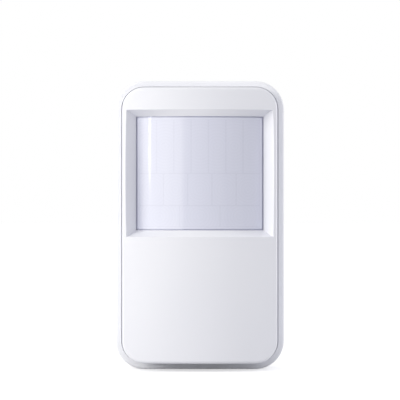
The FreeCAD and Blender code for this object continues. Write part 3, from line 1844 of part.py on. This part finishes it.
# Recompute, check and write every sub-part
doc.recompute()
for thing in doc.Objects:
    if "Invalid" in thing.State or "Error" in thing.State:
        raise RuntimeError(f"{thing.Name} did not recompute: {thing.State}")
    if thing.TypeId == "Sketcher::SketchObject" and not thing.FullyConstrained:
        raise RuntimeError(f"{thing.Name} is not fully constrained")

os.makedirs("parts", exist_ok=True)
for thing in subparts:
    shape = thing.Shape
    if shape.isNull() or not shape.isValid() or not shape.Solids:
        raise RuntimeError(f"{thing.Label} has no valid solid")
    shape.exportStep(f"parts/{thing.Label}.step")
    print(f"{thing.Label}: {len(shape.Solids)} solid(s), {shape.Volume:.1f} mm3")
print(len(subparts), "sub-parts written")
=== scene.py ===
import math

import bpy
import numpy as np
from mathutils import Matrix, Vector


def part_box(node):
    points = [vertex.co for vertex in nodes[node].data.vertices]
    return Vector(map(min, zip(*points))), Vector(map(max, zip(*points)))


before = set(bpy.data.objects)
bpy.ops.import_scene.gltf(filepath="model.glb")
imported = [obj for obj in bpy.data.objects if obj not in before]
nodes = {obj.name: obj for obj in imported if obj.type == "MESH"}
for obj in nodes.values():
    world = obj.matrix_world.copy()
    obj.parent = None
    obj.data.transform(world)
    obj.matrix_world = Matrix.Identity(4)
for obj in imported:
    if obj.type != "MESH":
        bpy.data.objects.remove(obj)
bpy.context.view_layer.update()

# %% [markdown]
# ## The motion sensor
# A wall-mounted motion sensor shows three pieces from outside: a rear base whose rim stands out
# as a narrow band, a front cover with a gently curved face, and a lens sheet in a bevelled
# window. They and the parts inside come ready as solids in metres, with the wall at y = 0 and the
# lens looking towards -y. New surfaces could be laid over them, but the solids already hold every
# form that is seen, so this file keeps each node's mesh and adds what the eye reads as a
# material: colour, grain and gloss. Light and a camera follow.

# %% Where things are
MM = 0.001
cover_low, cover_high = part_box("front_cover")
lens_low, lens_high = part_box("fresnel_lens")
base_low, base_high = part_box("rear_base")


def in_mm(place):
    """The numbers of a place, in millimetres to one decimal."""
    return [round(float(v) / MM, 1) for v in place]


print(len(nodes), "nodes, cover from", in_mm(cover_low), "to", in_mm(cover_high), "mm")
print("lens from", in_mm(lens_low), "to", in_mm(lens_high), "mm")

# %% [markdown]
# ## Shader maths as plain expressions
# A material is a network of nodes, and most of it is arithmetic. The nodes could be added and
# joined one by one, but then the sum itself is hard to read. So a small class wraps one output
# socket and overloads the usual signs, and `0.3 + 0.1 * grain` adds its Math nodes by itself.


# %% A socket that can be added and multiplied
class Wire:
    """One output socket. Signs between wires and numbers add Math nodes."""

    def __init__(self, paint, socket):
        self.paint = paint
        self.socket = socket

    def maths(self, operation, first, second=0.0):
        """A Math node's result for one or two wires or numbers."""
        return self.paint.node("Math", dict(operation=operation), s0=first, s1=second)

    def __add__(self, other):
        return self.maths("ADD", self, other)

    def __sub__(self, other):
        return self.maths("SUBTRACT", self, other)

    def __rsub__(self, other):
        return self.maths("SUBTRACT", other, self)

    def __mul__(self, other):
        return self.maths("MULTIPLY", self, other)

    def __truediv__(self, other):
        return self.maths("DIVIDE", self, other)

    def __pow__(self, other):
        return self.maths("POWER", self, other)

    def __gt__(self, other):
        return self.maths("GREATER_THAN", self, other)

    def __lt__(self, other):
        return self.maths("LESS_THAN", self, other)

    def __abs__(self):
        return self.maths("ABSOLUTE", self)

    def sine(self):
        """The sine of an angle in radians."""
        return self.maths("SINE", self)

    def pingpong(self, span):
        """A triangle wave: up to the span and back to zero, over and over."""
        return self.maths("PINGPONG", self, span)

    def largest(self, other):
        """The larger of two, which on masks means either."""
        return self.maths("MAXIMUM", self, other)

    def smallest(self, other):
        """The smaller of two."""
        return self.maths("MINIMUM", self, other)

    __radd__ = __add__
    __rmul__ = __mul__


print("a wire's named operations:", [name for name in vars(Wire) if name[0] != "_"])

# %% [markdown]
# ## A material and its helpers
# A finish is a shader with a few values and a few patterns plugged into it. Every node that isn't
# arithmetic, such as a noise, goes through one method that takes the node's type, its settings
# and the values of its sockets. Patterns read each point's own place on the object, in metres, so
# they stay where they are when the part is moved or seen from another side.


# %% A material and the nodes it is made of
class Paint:
    """A new material, with helpers that add nodes to it."""

    def __init__(self, name):
        self.material = bpy.data.materials.new(name)
        self.material.use_nodes = True
        self.tree = self.material.node_tree
        self.shader = self.tree.nodes["Principled BSDF"]
        self.place = self.node("TexCoord", out="Object")

    def plug(self, slot, value):
        """Links a wire to a socket, or sets the socket's own value."""
        if isinstance(value, Wire):
            self.tree.links.new(value.socket, slot)
        else:
            slot.default_value = value

    def node(self, kind, settings=(), out=0, **values):
        """Adds a node: its settings first, then a value or wire for each socket.

        A socket is named with underscores for spaces, or as s and its number where names repeat.
        """
        node = self.tree.nodes.new("ShaderNode" + kind)
        for key, value in dict(settings).items():
            setattr(node, key, value)
        for key, value in values.items():
            name = int(key[1:]) if key[1:].isdigit() else key.replace("_", " ")
            self.plug(node.inputs[name], value)
        return Wire(self, node.outputs[out])

    def noise(self, scale, detail=2.0, roughness=0.5):
        """Noise from 0 to 1, with its scale in features per metre."""
        return self.node(
            "TexNoise", Vector=self.place, Scale=scale, Detail=detail, Roughness=roughness
        )

    def stretched(self, scale, across, depth, up):
        """The same noise, with each axis times its own factor: a small one draws it out."""
        place = self.node("Mapping", Vector=self.place, Scale=(across, depth, up))
        return self.node("TexNoise", Vector=place, Scale=scale, Detail=2.0, Roughness=0.5)

    def mix(self, share, first, second):
        """A colour between two others: the first at share 0 and the second at share 1."""
        return self.node("Mix", dict(data_type="RGBA"), 2, s0=share, s6=first, s7=second)

    def axes(self):
        """The surface's x, y and z in metres."""
        return [self.node("SeparateXYZ", out=axis, Vector=self.place) for axis in range(3)]

    def shown(self):
        """1 where the camera sees this, also in a gloss or through glass, and 0 to other light."""
        kinds = ("Is Camera Ray", "Is Glossy Ray", "Is Transmission Ray")
        direct, glossy, through = [self.node("LightPath", out=kind) for kind in kinds]
        return direct.largest(glossy).largest(through)

    def bump(self, height, distance, strength=1.0):
        """Tilts the shading as a surface of this height would, at distance metres for height 1."""
        self.finish(
            Normal=self.node("Bump", Height=height, Distance=distance, Strength=strength)
        )

    def finish(self, **values):
        """Sets or links sockets of the main shader. Underscores stand for spaces."""
        for key, value in values.items():
            self.plug(self.shader.inputs[key.replace("_", " ")], value)


print("a paint's helpers:", [name for name in vars(Paint) if name[0] != "_"])

# %% [markdown]
# ## Colours
# A colour is easiest to judge by its screen values from 0 to 255, but light adds up in linear
# values, which is what a shader wants. One function turns the first into the second.


# %% Colours
def rgb(red, green, blue):
    """A screen colour from 0 to 255 as a linear one.

    Each value is divided by 255. A dark one is then divided by 12.92. Any other is raised by
    0.055, divided by 1.055 and taken to the power 2.4.
    """
    parts = np.array([red, green, blue]) / 255
    linear = np.where(parts <= 0.04045, parts / 12.92, ((parts + 0.055) / 1.055) ** 2.4)
    return (*linear.tolist(), 1.0)


def darkened(colour, share):
    """A colour with its red, green and blue times a share."""
    return (*(share * part for part in colour[:3]), 1.0)


print("a white of 240 is", round(rgb(240, 240, 240)[0], 3), "in linear light")

# %% [markdown]
# ## Moulded white plastic
# The base and the cover are injection-moulded in a white with a trace of blue. The mould is spark
# eroded, which leaves an even grain a third of a millimetre wide and a few thousandths deep, and
# that grain breaks up the gloss. A picture of such a grain could be wrapped round each piece, but
# it would show its edges. Noise worked out from each point's place has none: a fine noise moves
# height and gloss, and a broad one lets the tone drift, as it does where the plastic is thicker
# or thinner.

# %% The case plastics
TONE_PATCHES = 35.0  # broad patches of tone, for each metre
GLOSS_SWING = 0.04  # how far the grain moves the roughness, each way
PLASTIC_IOR = 1.5


def swung(middle, reach, pattern):
    """The middle, less the reach, plus twice the reach times a pattern that goes from 0 to 1."""
    return middle - reach + 2 * reach * pattern


def moulded(name, colour, shade, grain_size, grain_depth, rough):
    """Plastic with a mould grain.

    The colour is a mix of colour and shade by the broad noise. The roughness swings about rough
    with the grain. The height is the grain times its depth.
    """
    paint = Paint(name)
    drift = paint.noise(TONE_PATCHES, 1.0)
    grain = paint.noise(1 / grain_size, 3.0, 0.6)
    paint.finish(Base_Color=paint.mix(drift, colour, shade), IOR=PLASTIC_IOR)
    paint.finish(Roughness=swung(rough, GLOSS_SWING, grain))
    paint.bump(grain, grain_depth)
    return paint.material


cover_plastic = moulded(
    "cover_plastic", rgb(237, 238, 246), rgb(233, 234, 243),
    grain_size=0.35 * MM, grain_depth=0.006 * MM, rough=0.3,
)
base_plastic = moulded(
    "base_plastic", rgb(243, 244, 250), rgb(240, 241, 248),
    grain_size=0.35 * MM, grain_depth=0.008 * MM, rough=0.36,
)
retainer_plastic = moulded(
    "retainer_plastic", rgb(226, 226, 226), rgb(218, 218, 220),
    grain_size=0.5 * MM, grain_depth=0.008 * MM, rough=0.5,
)
print("case plastics:", [m.name for m in (cover_plastic, base_plastic, retainer_plastic)])

# %% [markdown]
# ## The lens sheet
# The lens is milky polyethylene, under a millimetre thick and smooth in front. Its back is
# moulded into three rows of small Fresnel lenses, each a set of rings about its own middle, and
# they show through the sheet as a faint figure. The rings are far too fine to build as a surface,
# so they are worked out in the material: the place on the sheet gives a row and a tile, and the
# distance from that tile's middle gives the ring. The tiles' outlines are cut in the solid, and
# the seams here lie over them.

# %% The tiles, as the solid has them
SHEET_EDGE = 3.0 * MM  # the plain edge under the retainer
TILE_ROWS = ((0.5, 7), (0.3, 5), (0.2, 3))  # each row's share of the height, and its tiles
tiles_wide = lens_high[0] - lens_low[0] - 2 * SHEET_EDGE
tiles_top = lens_high[2] - SHEET_EDGE
tiles_high = tiles_top - lens_low[2] - SHEET_EDGE
print("tile field in mm:", in_mm((tiles_wide, tiles_high)), "tiles:", sum(n for _, n in TILE_ROWS))

# %% Rings and seams
RING_PITCH = 1.1 * MM
SEAM_HALF = 0.25 * MM


def tile_pattern(paint):
    """Rings and seams, both 0 to 1.

    In a row of n tiles, a triangle wave gives the distance in from the tile's edge. The distance
    from its middle is u, and v is the height above the row's middle. A ring is half of one plus
    the sine of the root of u squared plus v squared, in turns of one pitch. A seam is a quarter
    of a millimetre each side of the tile's edge.
    """
    x, _, z = paint.axes()
    rings, seams, top = 0.0, 0.0, tiles_top
    for share, count in TILE_ROWS:
        width, height = tiles_wide / count, tiles_high * share
        edge_in = (x / tiles_wide + 0.5).pingpong(0.5 / count) * tiles_wide
        u = width * 0.5 - edge_in
        v = z - (top - height * 0.5)
        inside = (abs(v) < height * 0.5) * (abs(x) < tiles_wide * 0.5)
        wave = ((u**2.0 + v**2.0) ** 0.5 * (2 * math.pi / RING_PITCH)).sine()
        edge = (edge_in < SEAM_HALF).largest(abs(v) > height * 0.5 - SEAM_HALF)
        rings = inside * (wave * 0.5 + 0.5) + rings
        seams = inside * edge + seams
        top -= height
    return rings, seams


print("rings every", round(RING_PITCH / MM, 2), "mm, seams", round(2 * SEAM_HALF / MM, 2), "mm")

# %% Lens plastic
STREAKS = 260.0  # flow streaks across a metre
STREAK_DRAW = 0.06  # upright they are drawn out to about seventeen times their width
RING_SHOW, SEAM_SHOW = 0.1, 0.22  # how much of the figure's colour each brings
LENS_ROUGH = 0.06  # a smooth sheet: it mirrors a lamp with a soft edge
LENS_IOR = 1.54
STREAK_DEPTH = 0.02 * MM


def lens_plastic():
    """Milky plastic: upright flow streaks, with the tiles faintly seen from behind.

    The colour is a mix of two milky tones by the streaks, and then of the figure's tone by the
    rings and seams, each times its show. Streaks and rings also move the gloss and the height a
    little.
    """
    paint = Paint("lens_plastic")
    streaks = paint.stretched(STREAKS, 1.0, 1.0, STREAK_DRAW)
    rings, seams = tile_pattern(paint)
    milk = paint.mix(streaks, rgb(221, 223, 239), rgb(216, 218, 236))
    figure = RING_SHOW * rings + SEAM_SHOW * seams
    paint.finish(Base_Color=paint.mix(figure, milk, rgb(201, 203, 221)), IOR=LENS_IOR)
    paint.finish(Roughness=LENS_ROUGH + 0.04 * streaks + 0.02 * rings)
    paint.bump(streaks + 0.15 * rings, STREAK_DEPTH, 0.3)
    return paint.material


lens_milk = lens_plastic()
print("lens material has", len(lens_milk.node_tree.nodes), "nodes")

# %% [markdown]
# ## The parts inside: mouldings
# With the cover on, nothing inside is seen, but the model comes apart, so each piece has its own
# finish. Housings of chips and switches are moulded with a fine matt grain, and the small ceramic
# bodies are pressed and look alike. Each could have a noise of its own, but one that darkens,
# dulls and dents the surface a little is enough at this size, so they all share one function.

# %% Small mouldings
FINE_GRAIN = 2500.0  # grains to a metre, 0.4 mm each
FINE_GRAIN_DEPTH = 0.008 * MM
FINE_GRAIN_SHADE = 0.88  # the colour in the grain's dips, as a share of the colour
FINE_GRAIN_SWING = 0.05


def plain_plastic(name, colour, rough):
    """Small moulded piece with a slight grain.

    By the grain, the colour goes from its shade to itself, the roughness swings about rough, and
    the height goes from zero to the grain's depth.
    """
    paint = Paint(name)
    grain = paint.noise(FINE_GRAIN)
    paint.finish(Base_Color=paint.mix(grain, darkened(colour, FINE_GRAIN_SHADE), colour))
    paint.finish(Roughness=swung(rough, FINE_GRAIN_SWING, grain))
    paint.bump(grain, FINE_GRAIN_DEPTH)
    return paint.material


switch_black = plain_plastic("black_plastic", rgb(38, 38, 41), 0.55)
chip_black = plain_plastic("chip_plastic", rgb(44, 44, 48), 0.6)
plunger_ivory = plain_plastic("plunger_plastic", rgb(226, 221, 206), 0.45)
spacer_white = plain_plastic("spacer_plastic", rgb(240, 239, 232), 0.5)
cap_blue = plain_plastic("cap_plastic", rgb(48, 82, 150), 0.45)
lamp_red = plain_plastic("lamp_lens", rgb(214, 58, 48), 0.15)
window_dark = plain_plastic("filter_window", rgb(34, 34, 38), 0.12)
element_ceramic = plain_plastic("sensor_ceramic", rgb(232, 228, 214), 0.6)
capacitor_tan = plain_plastic("chip_ceramic", rgb(196, 172, 138), 0.55)
resistor_black = plain_plastic("resistor_body", rgb(36, 36, 40), 0.4)
print("grain of the small mouldings:", round(1 / FINE_GRAIN / MM, 2), "mm")

# %% [markdown]
# ## The parts inside: metals
# Screws are plain steel, legs and pins are tinned, the cell's contacts and the shield are
# nickel-plated, and the aerial is bare copper. Rolled and drawn metal keeps fine lines along its
# length. Scratches could be cut one by one, but noise that is drawn out along the piece gives
# them all at once.

# %% Metals
DRAWN_LINES = 6000.0  # lines across a metre
LINE_DRAW = 0.08  # along x the noise is drawn out to about twelve times its width
LINE_DEPTH = 0.003 * MM
LINE_SHADE = 0.85  # the colour in the lines, as a share of the metal's
LINE_SWING = 0.06


def metal(name, colour, rough):
    """Bare or plated metal with fine lines along x.

    By the lines, the colour goes from its shade to itself, the roughness swings about rough, and
    the height goes from zero to the lines' depth.
    """
    paint = Paint(name)
    lines = paint.stretched(DRAWN_LINES, LINE_DRAW, 1.0, 1.0)
    paint.finish(Base_Color=paint.mix(lines, darkened(colour, LINE_SHADE), colour), Metallic=1.0)
    paint.finish(Roughness=swung(rough, LINE_SWING, lines))
    paint.bump(lines, LINE_DEPTH)
    return paint.material


screw_steel = metal("screw_steel", rgb(190, 190, 192), 0.35)
tinned = metal("tinned_metal", rgb(205, 205, 203), 0.28)
nickel = metal("contact_metal", rgb(200, 197, 190), 0.25)
can_metal = metal("sensor_metal", rgb(196, 193, 184), 0.3)
pin_gold = metal("gold_plate", rgb(222, 186, 104), 0.22)
aerial_copper = metal("antenna_wire", rgb(196, 120, 70), 0.3)
can_aluminium = metal("capacitor_metal", rgb(198, 199, 203), 0.34)
print("materials so far:", len(bpy.data.materials))

# %% [markdown]
# ## The circuit boards
# A board is glass laminate under green resist, and the copper shows through it as paler green.
# Real tracks run in parallel groups, upright in one area and level in the next, and shift
# sideways at 45 degrees. A picture of a board could be laid on, but it would blur close up. A
# track is also a line of equal value of a field with sloping steps, which takes a few sums. Small
# round pads, where tracks change sides, stand between them.

# %% Groups of tracks
TRACK_PITCH = 1.4 * MM
TRACK_HALF = 0.24 * MM
STEP_EVERY = 14 * MM  # half of the length after which the steps repeat
STEP_START = 5 * MM
STEP_RISE = 3 * MM


def track_group(along, across):
    """Parallel tracks, 0 or 1, along one axis.

    The step is a triangle wave of the place along the tracks, less its start, cut off at zero and
    at its rise, so it is level, slopes at 45 degrees, and is level again. Tracks lie where the
    place across plus that step is near a whole number of pitches.
    """
    step = (along.pingpong(STEP_EVERY) - STEP_START).largest(0.0).smallest(STEP_RISE)
    return (across + step).pingpong(TRACK_PITCH / 2) < TRACK_HALF


print("a track", round(2 * TRACK_HALF / MM, 2), "mm wide every", round(TRACK_PITCH / MM, 2), "mm")

# %% Board laminate
AREAS = 70.0  # areas of tracks, for each metre
UPRIGHT_ABOVE, LEVEL_BELOW = 0.54, 0.44  # between the two the board is bare
PAD_SPACING = 5.0 * MM
PAD_RADIUS = 0.5 * MM
COPPER_PROUD = 0.02 * MM
RESIST_ROUGH = 0.32


def board_laminate():
    """Green resist, paler over the tracks and pads, which stand a trace proud.

    A broad noise says which area has upright tracks and which has level ones. A pad is the part
    of a scattered cell, one to each pad spacing, that is nearer to its middle than the pad's
    radius.
    """
    paint = Paint("board_laminate")
    x, _, z = paint.axes()
    area = paint.noise(AREAS, 0.0)
    upright = track_group(z, x) * (area > UPRIGHT_ABOVE)
    level = track_group(x, z) * (area < LEVEL_BELOW)
    spot = paint.node("TexVoronoi", Vector=paint.place, Scale=1 / PAD_SPACING, Randomness=0.8)
    copper = upright.largest(level).largest(spot < PAD_RADIUS / PAD_SPACING)
    green = paint.mix(paint.noise(120.0), rgb(14, 82, 44), rgb(18, 92, 50))
    paint.finish(Base_Color=paint.mix(copper, green, rgb(44, 128, 70)))
    paint.finish(Roughness=RESIST_ROUGH - 0.06 * copper)
    paint.bump(copper, COPPER_PROUD, 0.6)
    return paint.material


green_board = board_laminate()
print("pads of", round(2 * PAD_RADIUS / MM, 2), "mm, about", round(PAD_SPACING / MM, 1), "mm apart")

# %% [markdown]
# ## The cell
# A lithium cell is a steel can in a printed sleeve that is shrunk over its rims. The sleeve here
# is plain blue with one paler band at the positive end, and the steel shows inside the rims.
# Sleeve and steel could be two pieces, but the sleeve is a tenth of a millimetre thick, so one
# material tells them apart by where a point lies.

# %% Cell sleeve
CELL_BAND = 6 * MM  # at the positive end, which points to +x
SLEEVE_RIM = 1.2 * MM
END_DEPTH = 0.5 * MM  # a point this near to the end counts as the end face


def cell_sleeve():
    """Blue sleeve with a band, and bare steel on the end faces inside the sleeve's rims.

    The cell lies along x. Its distance out from its own axis is the root of the sum of squares of
    the other two places, measured from the middle of its box.
    """
    low, high = np.array(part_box("battery_cell"))
    middle, radius = (low + high) / 2, (high[2] - low[2]) / 2
    half_length = (high[0] - low[0]) / 2
    paint = Paint("cell_sleeve")
    x, y, z = paint.axes()
    out = ((y - middle[1]) ** 2.0 + (z - middle[2]) ** 2.0) ** 0.5
    end = abs(x - middle[0]) > half_length - END_DEPTH
    steel_face = end * (out < radius - SLEEVE_RIM)
    band = x > high[0] - CELL_BAND
    grain = paint.noise(900.0)
    blue = paint.mix(grain, rgb(52, 84, 140), rgb(60, 94, 150))
    sleeve_colour = paint.mix(band, blue, rgb(176, 182, 192))
    paint.finish(Base_Color=paint.mix(steel_face, sleeve_colour, rgb(192, 192, 194)))
    paint.finish(Metallic=steel_face, Roughness=0.26 + 0.08 * grain)
    paint.bump(grain, 0.01 * MM)
    return paint.material


sleeve = cell_sleeve()

# %% [markdown]
# ## Every node gets its finish
# Real parts of the same stuff look alike, so nodes of the same stuff share one material. The
# materials could be set one node at a time, but a table shows at a glance what each node is made
# of, and its length tells whether one was forgotten.

# %% Finishes by node
FINISHES = (
    (base_plastic, "rear_base"),
    (cover_plastic, "front_cover"),
    (lens_milk, "fresnel_lens"),
    (retainer_plastic, "lens_retainer"),
    (green_board, "circuit_board radio_board"),
    (screw_steel, "cover_screw board_screws"),
    (tinned, "sensor_pins lamp_leads microcontroller_legs amplifier_legs"),
    (nickel, "battery_terminal battery_leaf battery_spring radio_shield crystal"),
    (can_metal, "sensor_header sensor_can"),
    (pin_gold, "jumper_pins"),
    (aerial_copper, "antenna_coil"),
    (can_aluminium, "storage_capacitor"),
    (switch_black, "tamper_switch battery_holder jumper_header"),
    (chip_black, "microcontroller amplifier"),
    (plunger_ivory, "tamper_plunger"),
    (spacer_white, "sensor_spacer"),
    (sleeve, "battery_cell"),
    (cap_blue, "jumper_cap"),
    (window_dark, "sensor_filter"),
    (element_ceramic, "sensor_element"),
    (capacitor_tan, "chip_capacitors"),
    (resistor_black, "chip_resistors"),
    (lamp_red, "status_lamp"),
)
finished = 0
for material, names in FINISHES:
    for name in names.split():
        finished += 1
        for slot in nodes[name].material_slots:
            slot.material = material
print("finished nodes:", finished, "of", len(nodes))

# %% [markdown]
# ## Floor
# The photograph has a pure white ground. A brighter lamp would whiten the floor and burn out the
# case with it, and a floor that only reflects light comes out grey. So its material adds a glow
# that only the camera and reflections see. It lifts the lit floor to white, and the sensor's
# shadow stays.

# %% A level square
FLOOR_HALF = 6.0  # in metres, so its edges lie far outside the picture
FLOOR_GAP = 0.1 * MM


def flat_square(name, half, level):
    """A level square: corners at plus and minus half in x and y, at height level."""
    corner = np.array([[-1, -1], [1, -1], [1, 1], [-1, 1]]) * half
    points = np.column_stack([corner, np.full(4, level)])
    mesh = bpy.data.meshes.new(name)
    mesh.from_pydata(points.tolist(), [], [(0, 1, 2, 3)])
    square = bpy.data.objects.new(name, mesh)
    bpy.context.scene.collection.objects.link(square)
    return square


floor = flat_square("floor", FLOOR_HALF, base_low[2] - FLOOR_GAP)
print("floor at", round(floor.data.vertices[0].co.z / MM, 2), "mm")

# %% Floor finish
FLOOR_GLOW = 0.55
ground = Paint("floor_white")
ground.finish(Base_Color=rgb(205, 205, 208), Roughness=0.9)
glow = ground.node("Emission", Strength=ground.shown() * FLOOR_GLOW)
both = ground.node("AddShader", s0=Wire(ground, ground.shader.outputs[0]), s1=glow)
ground.plug(ground.tree.nodes["Material Output"].inputs["Surface"], both)
floor.data.materials.append(ground.material)
print("floor glow:", FLOOR_GLOW)

# %% [markdown]
# ## World
# A studio's white walls light the sensor from all round. Left at full strength they would flatten
# it and leave the lamps nothing to add, so the world gives about three quarters of white as
# light, while the camera and reflections still see it as plain white.

# %% World
AMBIENT = 0.738


class Sky(Paint):
    """The world's nodes, with the same helpers as a material's."""

    def __init__(self, name):
        self.world = bpy.data.worlds.new(name)
        self.world.use_nodes = True
        self.tree = self.world.node_tree
        self.shader = self.tree.nodes["Background"]


sky = Sky("studio")
sky.finish(Color=(1, 1, 1, 1), Strength=sky.shown() * (1 - AMBIENT) + AMBIENT)
bpy.context.scene.world = sky.world
print("light from all round:", AMBIENT)

# %% [markdown]
# ## Light
# The photograph is lit from the left: the face is nearly burnt out on its left side and falls to
# a cool grey on its right, the left bevel of the window is in shade and the right one is bright.
# One lamp alone could do either the face or the lens. So a key lamp far round to the left shades
# the curved face, and a wide softbox nearer the camera is mirrored in the left half of the lens,
# which the photograph shows as a paler band with an upright edge. A small lamp gives the lens its
# bright streak. A narrow fill, just behind the plane of the wall, lights the rounded rim on the
# right and passes the face by.


# %% One lamp
def lamp(name, place, aim, size, power, colour=(1, 1, 1)):
    """A rectangular lamp at a place, turned to face a point. Sizes in metres, power in watts.

    On the line from the aim to the lamp, the turn about z is the angle whose tangent is the part
    towards +x over the part towards -y. The tilt is the angle of that line from straight up.
    """
    light = bpy.data.lights.new(name, "AREA")
    light.shape = "RECTANGLE"
    light.size, light.size_y = size
    light.energy = power
    light.color = colour
    away = np.array(place) - np.array(aim)
    turn = math.atan2(away[0], -away[1])
    tilt = math.atan2(math.hypot(away[0], away[1]), away[2])
    holder = bpy.data.objects.new(name, light)
    holder.location = place
    holder.rotation_euler = (tilt, 0.0, turn)
    bpy.context.scene.collection.objects.link(holder)


# %% The studio's lamps
WARM = (1.0, 0.98, 0.89)
face_middle = (0.0, cover_low[1], 10 * MM)
lens_left = (-18 * MM, cover_low[1], 30 * MM)
lamp("softbox", (-0.6, -0.84, -0.02), face_middle, size=(0.75, 0.5), power=1.8, colour=WARM)
lamp("key", (-0.92, -0.42, 0.36), face_middle, size=(0.5, 0.5), power=5.8, colour=WARM)
lamp("fill", (1.2, 0.15, 0.1), face_middle, size=(0.1, 0.6), power=4.6)
lamp("strip", (-0.55, -0.5, 0.045), lens_left, size=(0.02, 0.04), power=0.026)
print("watts:", {light.name: round(light.energy, 3) for light in bpy.data.lights})

# %% [markdown]
# ## Camera
# The photograph looks straight at the front. Its frame is square, and the case measures 168.5 of
# its 400 pixels across, so the frame is 147 mm wide at the base's rim. The camera could be close
# with a short lens, but then the near face would look larger and cover the rim. A long lens one
# metre away gives the photograph's flat view.

# %% Camera
CASE_PIXELS = 168.5
CASE_TOP_PIXEL = 81
CASE_MIDDLE_PIXEL = 199.8
FRAME_PIXELS = 400
CAMERA_AWAY = 1.0  # from the base's rim
FILM_WIDTH = 36.0  # in millimetres, as the lens is
FAR_LIMIT = 50.0  # past the floor's far edge
pixel = (base_high[0] - base_low[0]) / CASE_PIXELS
camera = bpy.data.cameras.new("camera")
camera.sensor_width = FILM_WIDTH
camera.lens = FILM_WIDTH * CAMERA_AWAY / (pixel * FRAME_PIXELS)
camera.clip_end = FAR_LIMIT
viewer = bpy.data.objects.new("camera", camera)
viewer.location = (
    (FRAME_PIXELS / 2 - CASE_MIDDLE_PIXEL) * pixel,
    base_low[1] - CAMERA_AWAY,
    base_high[2] - (FRAME_PIXELS / 2 - CASE_TOP_PIXEL) * pixel,
)
viewer.rotation_euler = (math.pi / 2, 0.0, 0.0)
bpy.context.scene.collection.objects.link(viewer)
bpy.context.scene.camera = viewer
print("camera at", in_mm(viewer.location), "mm, lens", round(camera.lens, 1), "mm")

# %% [markdown]
# ## Picture
# The picture should show each colour about as it was written, so the view transform is the plain
# one and the other settings stay as they are. A film-like one would grey the white case. The
# dressed sensor has the same sizes as the solids, because nothing was laid over them.

# %% View settings
bpy.context.scene.view_settings.view_transform = "Standard"
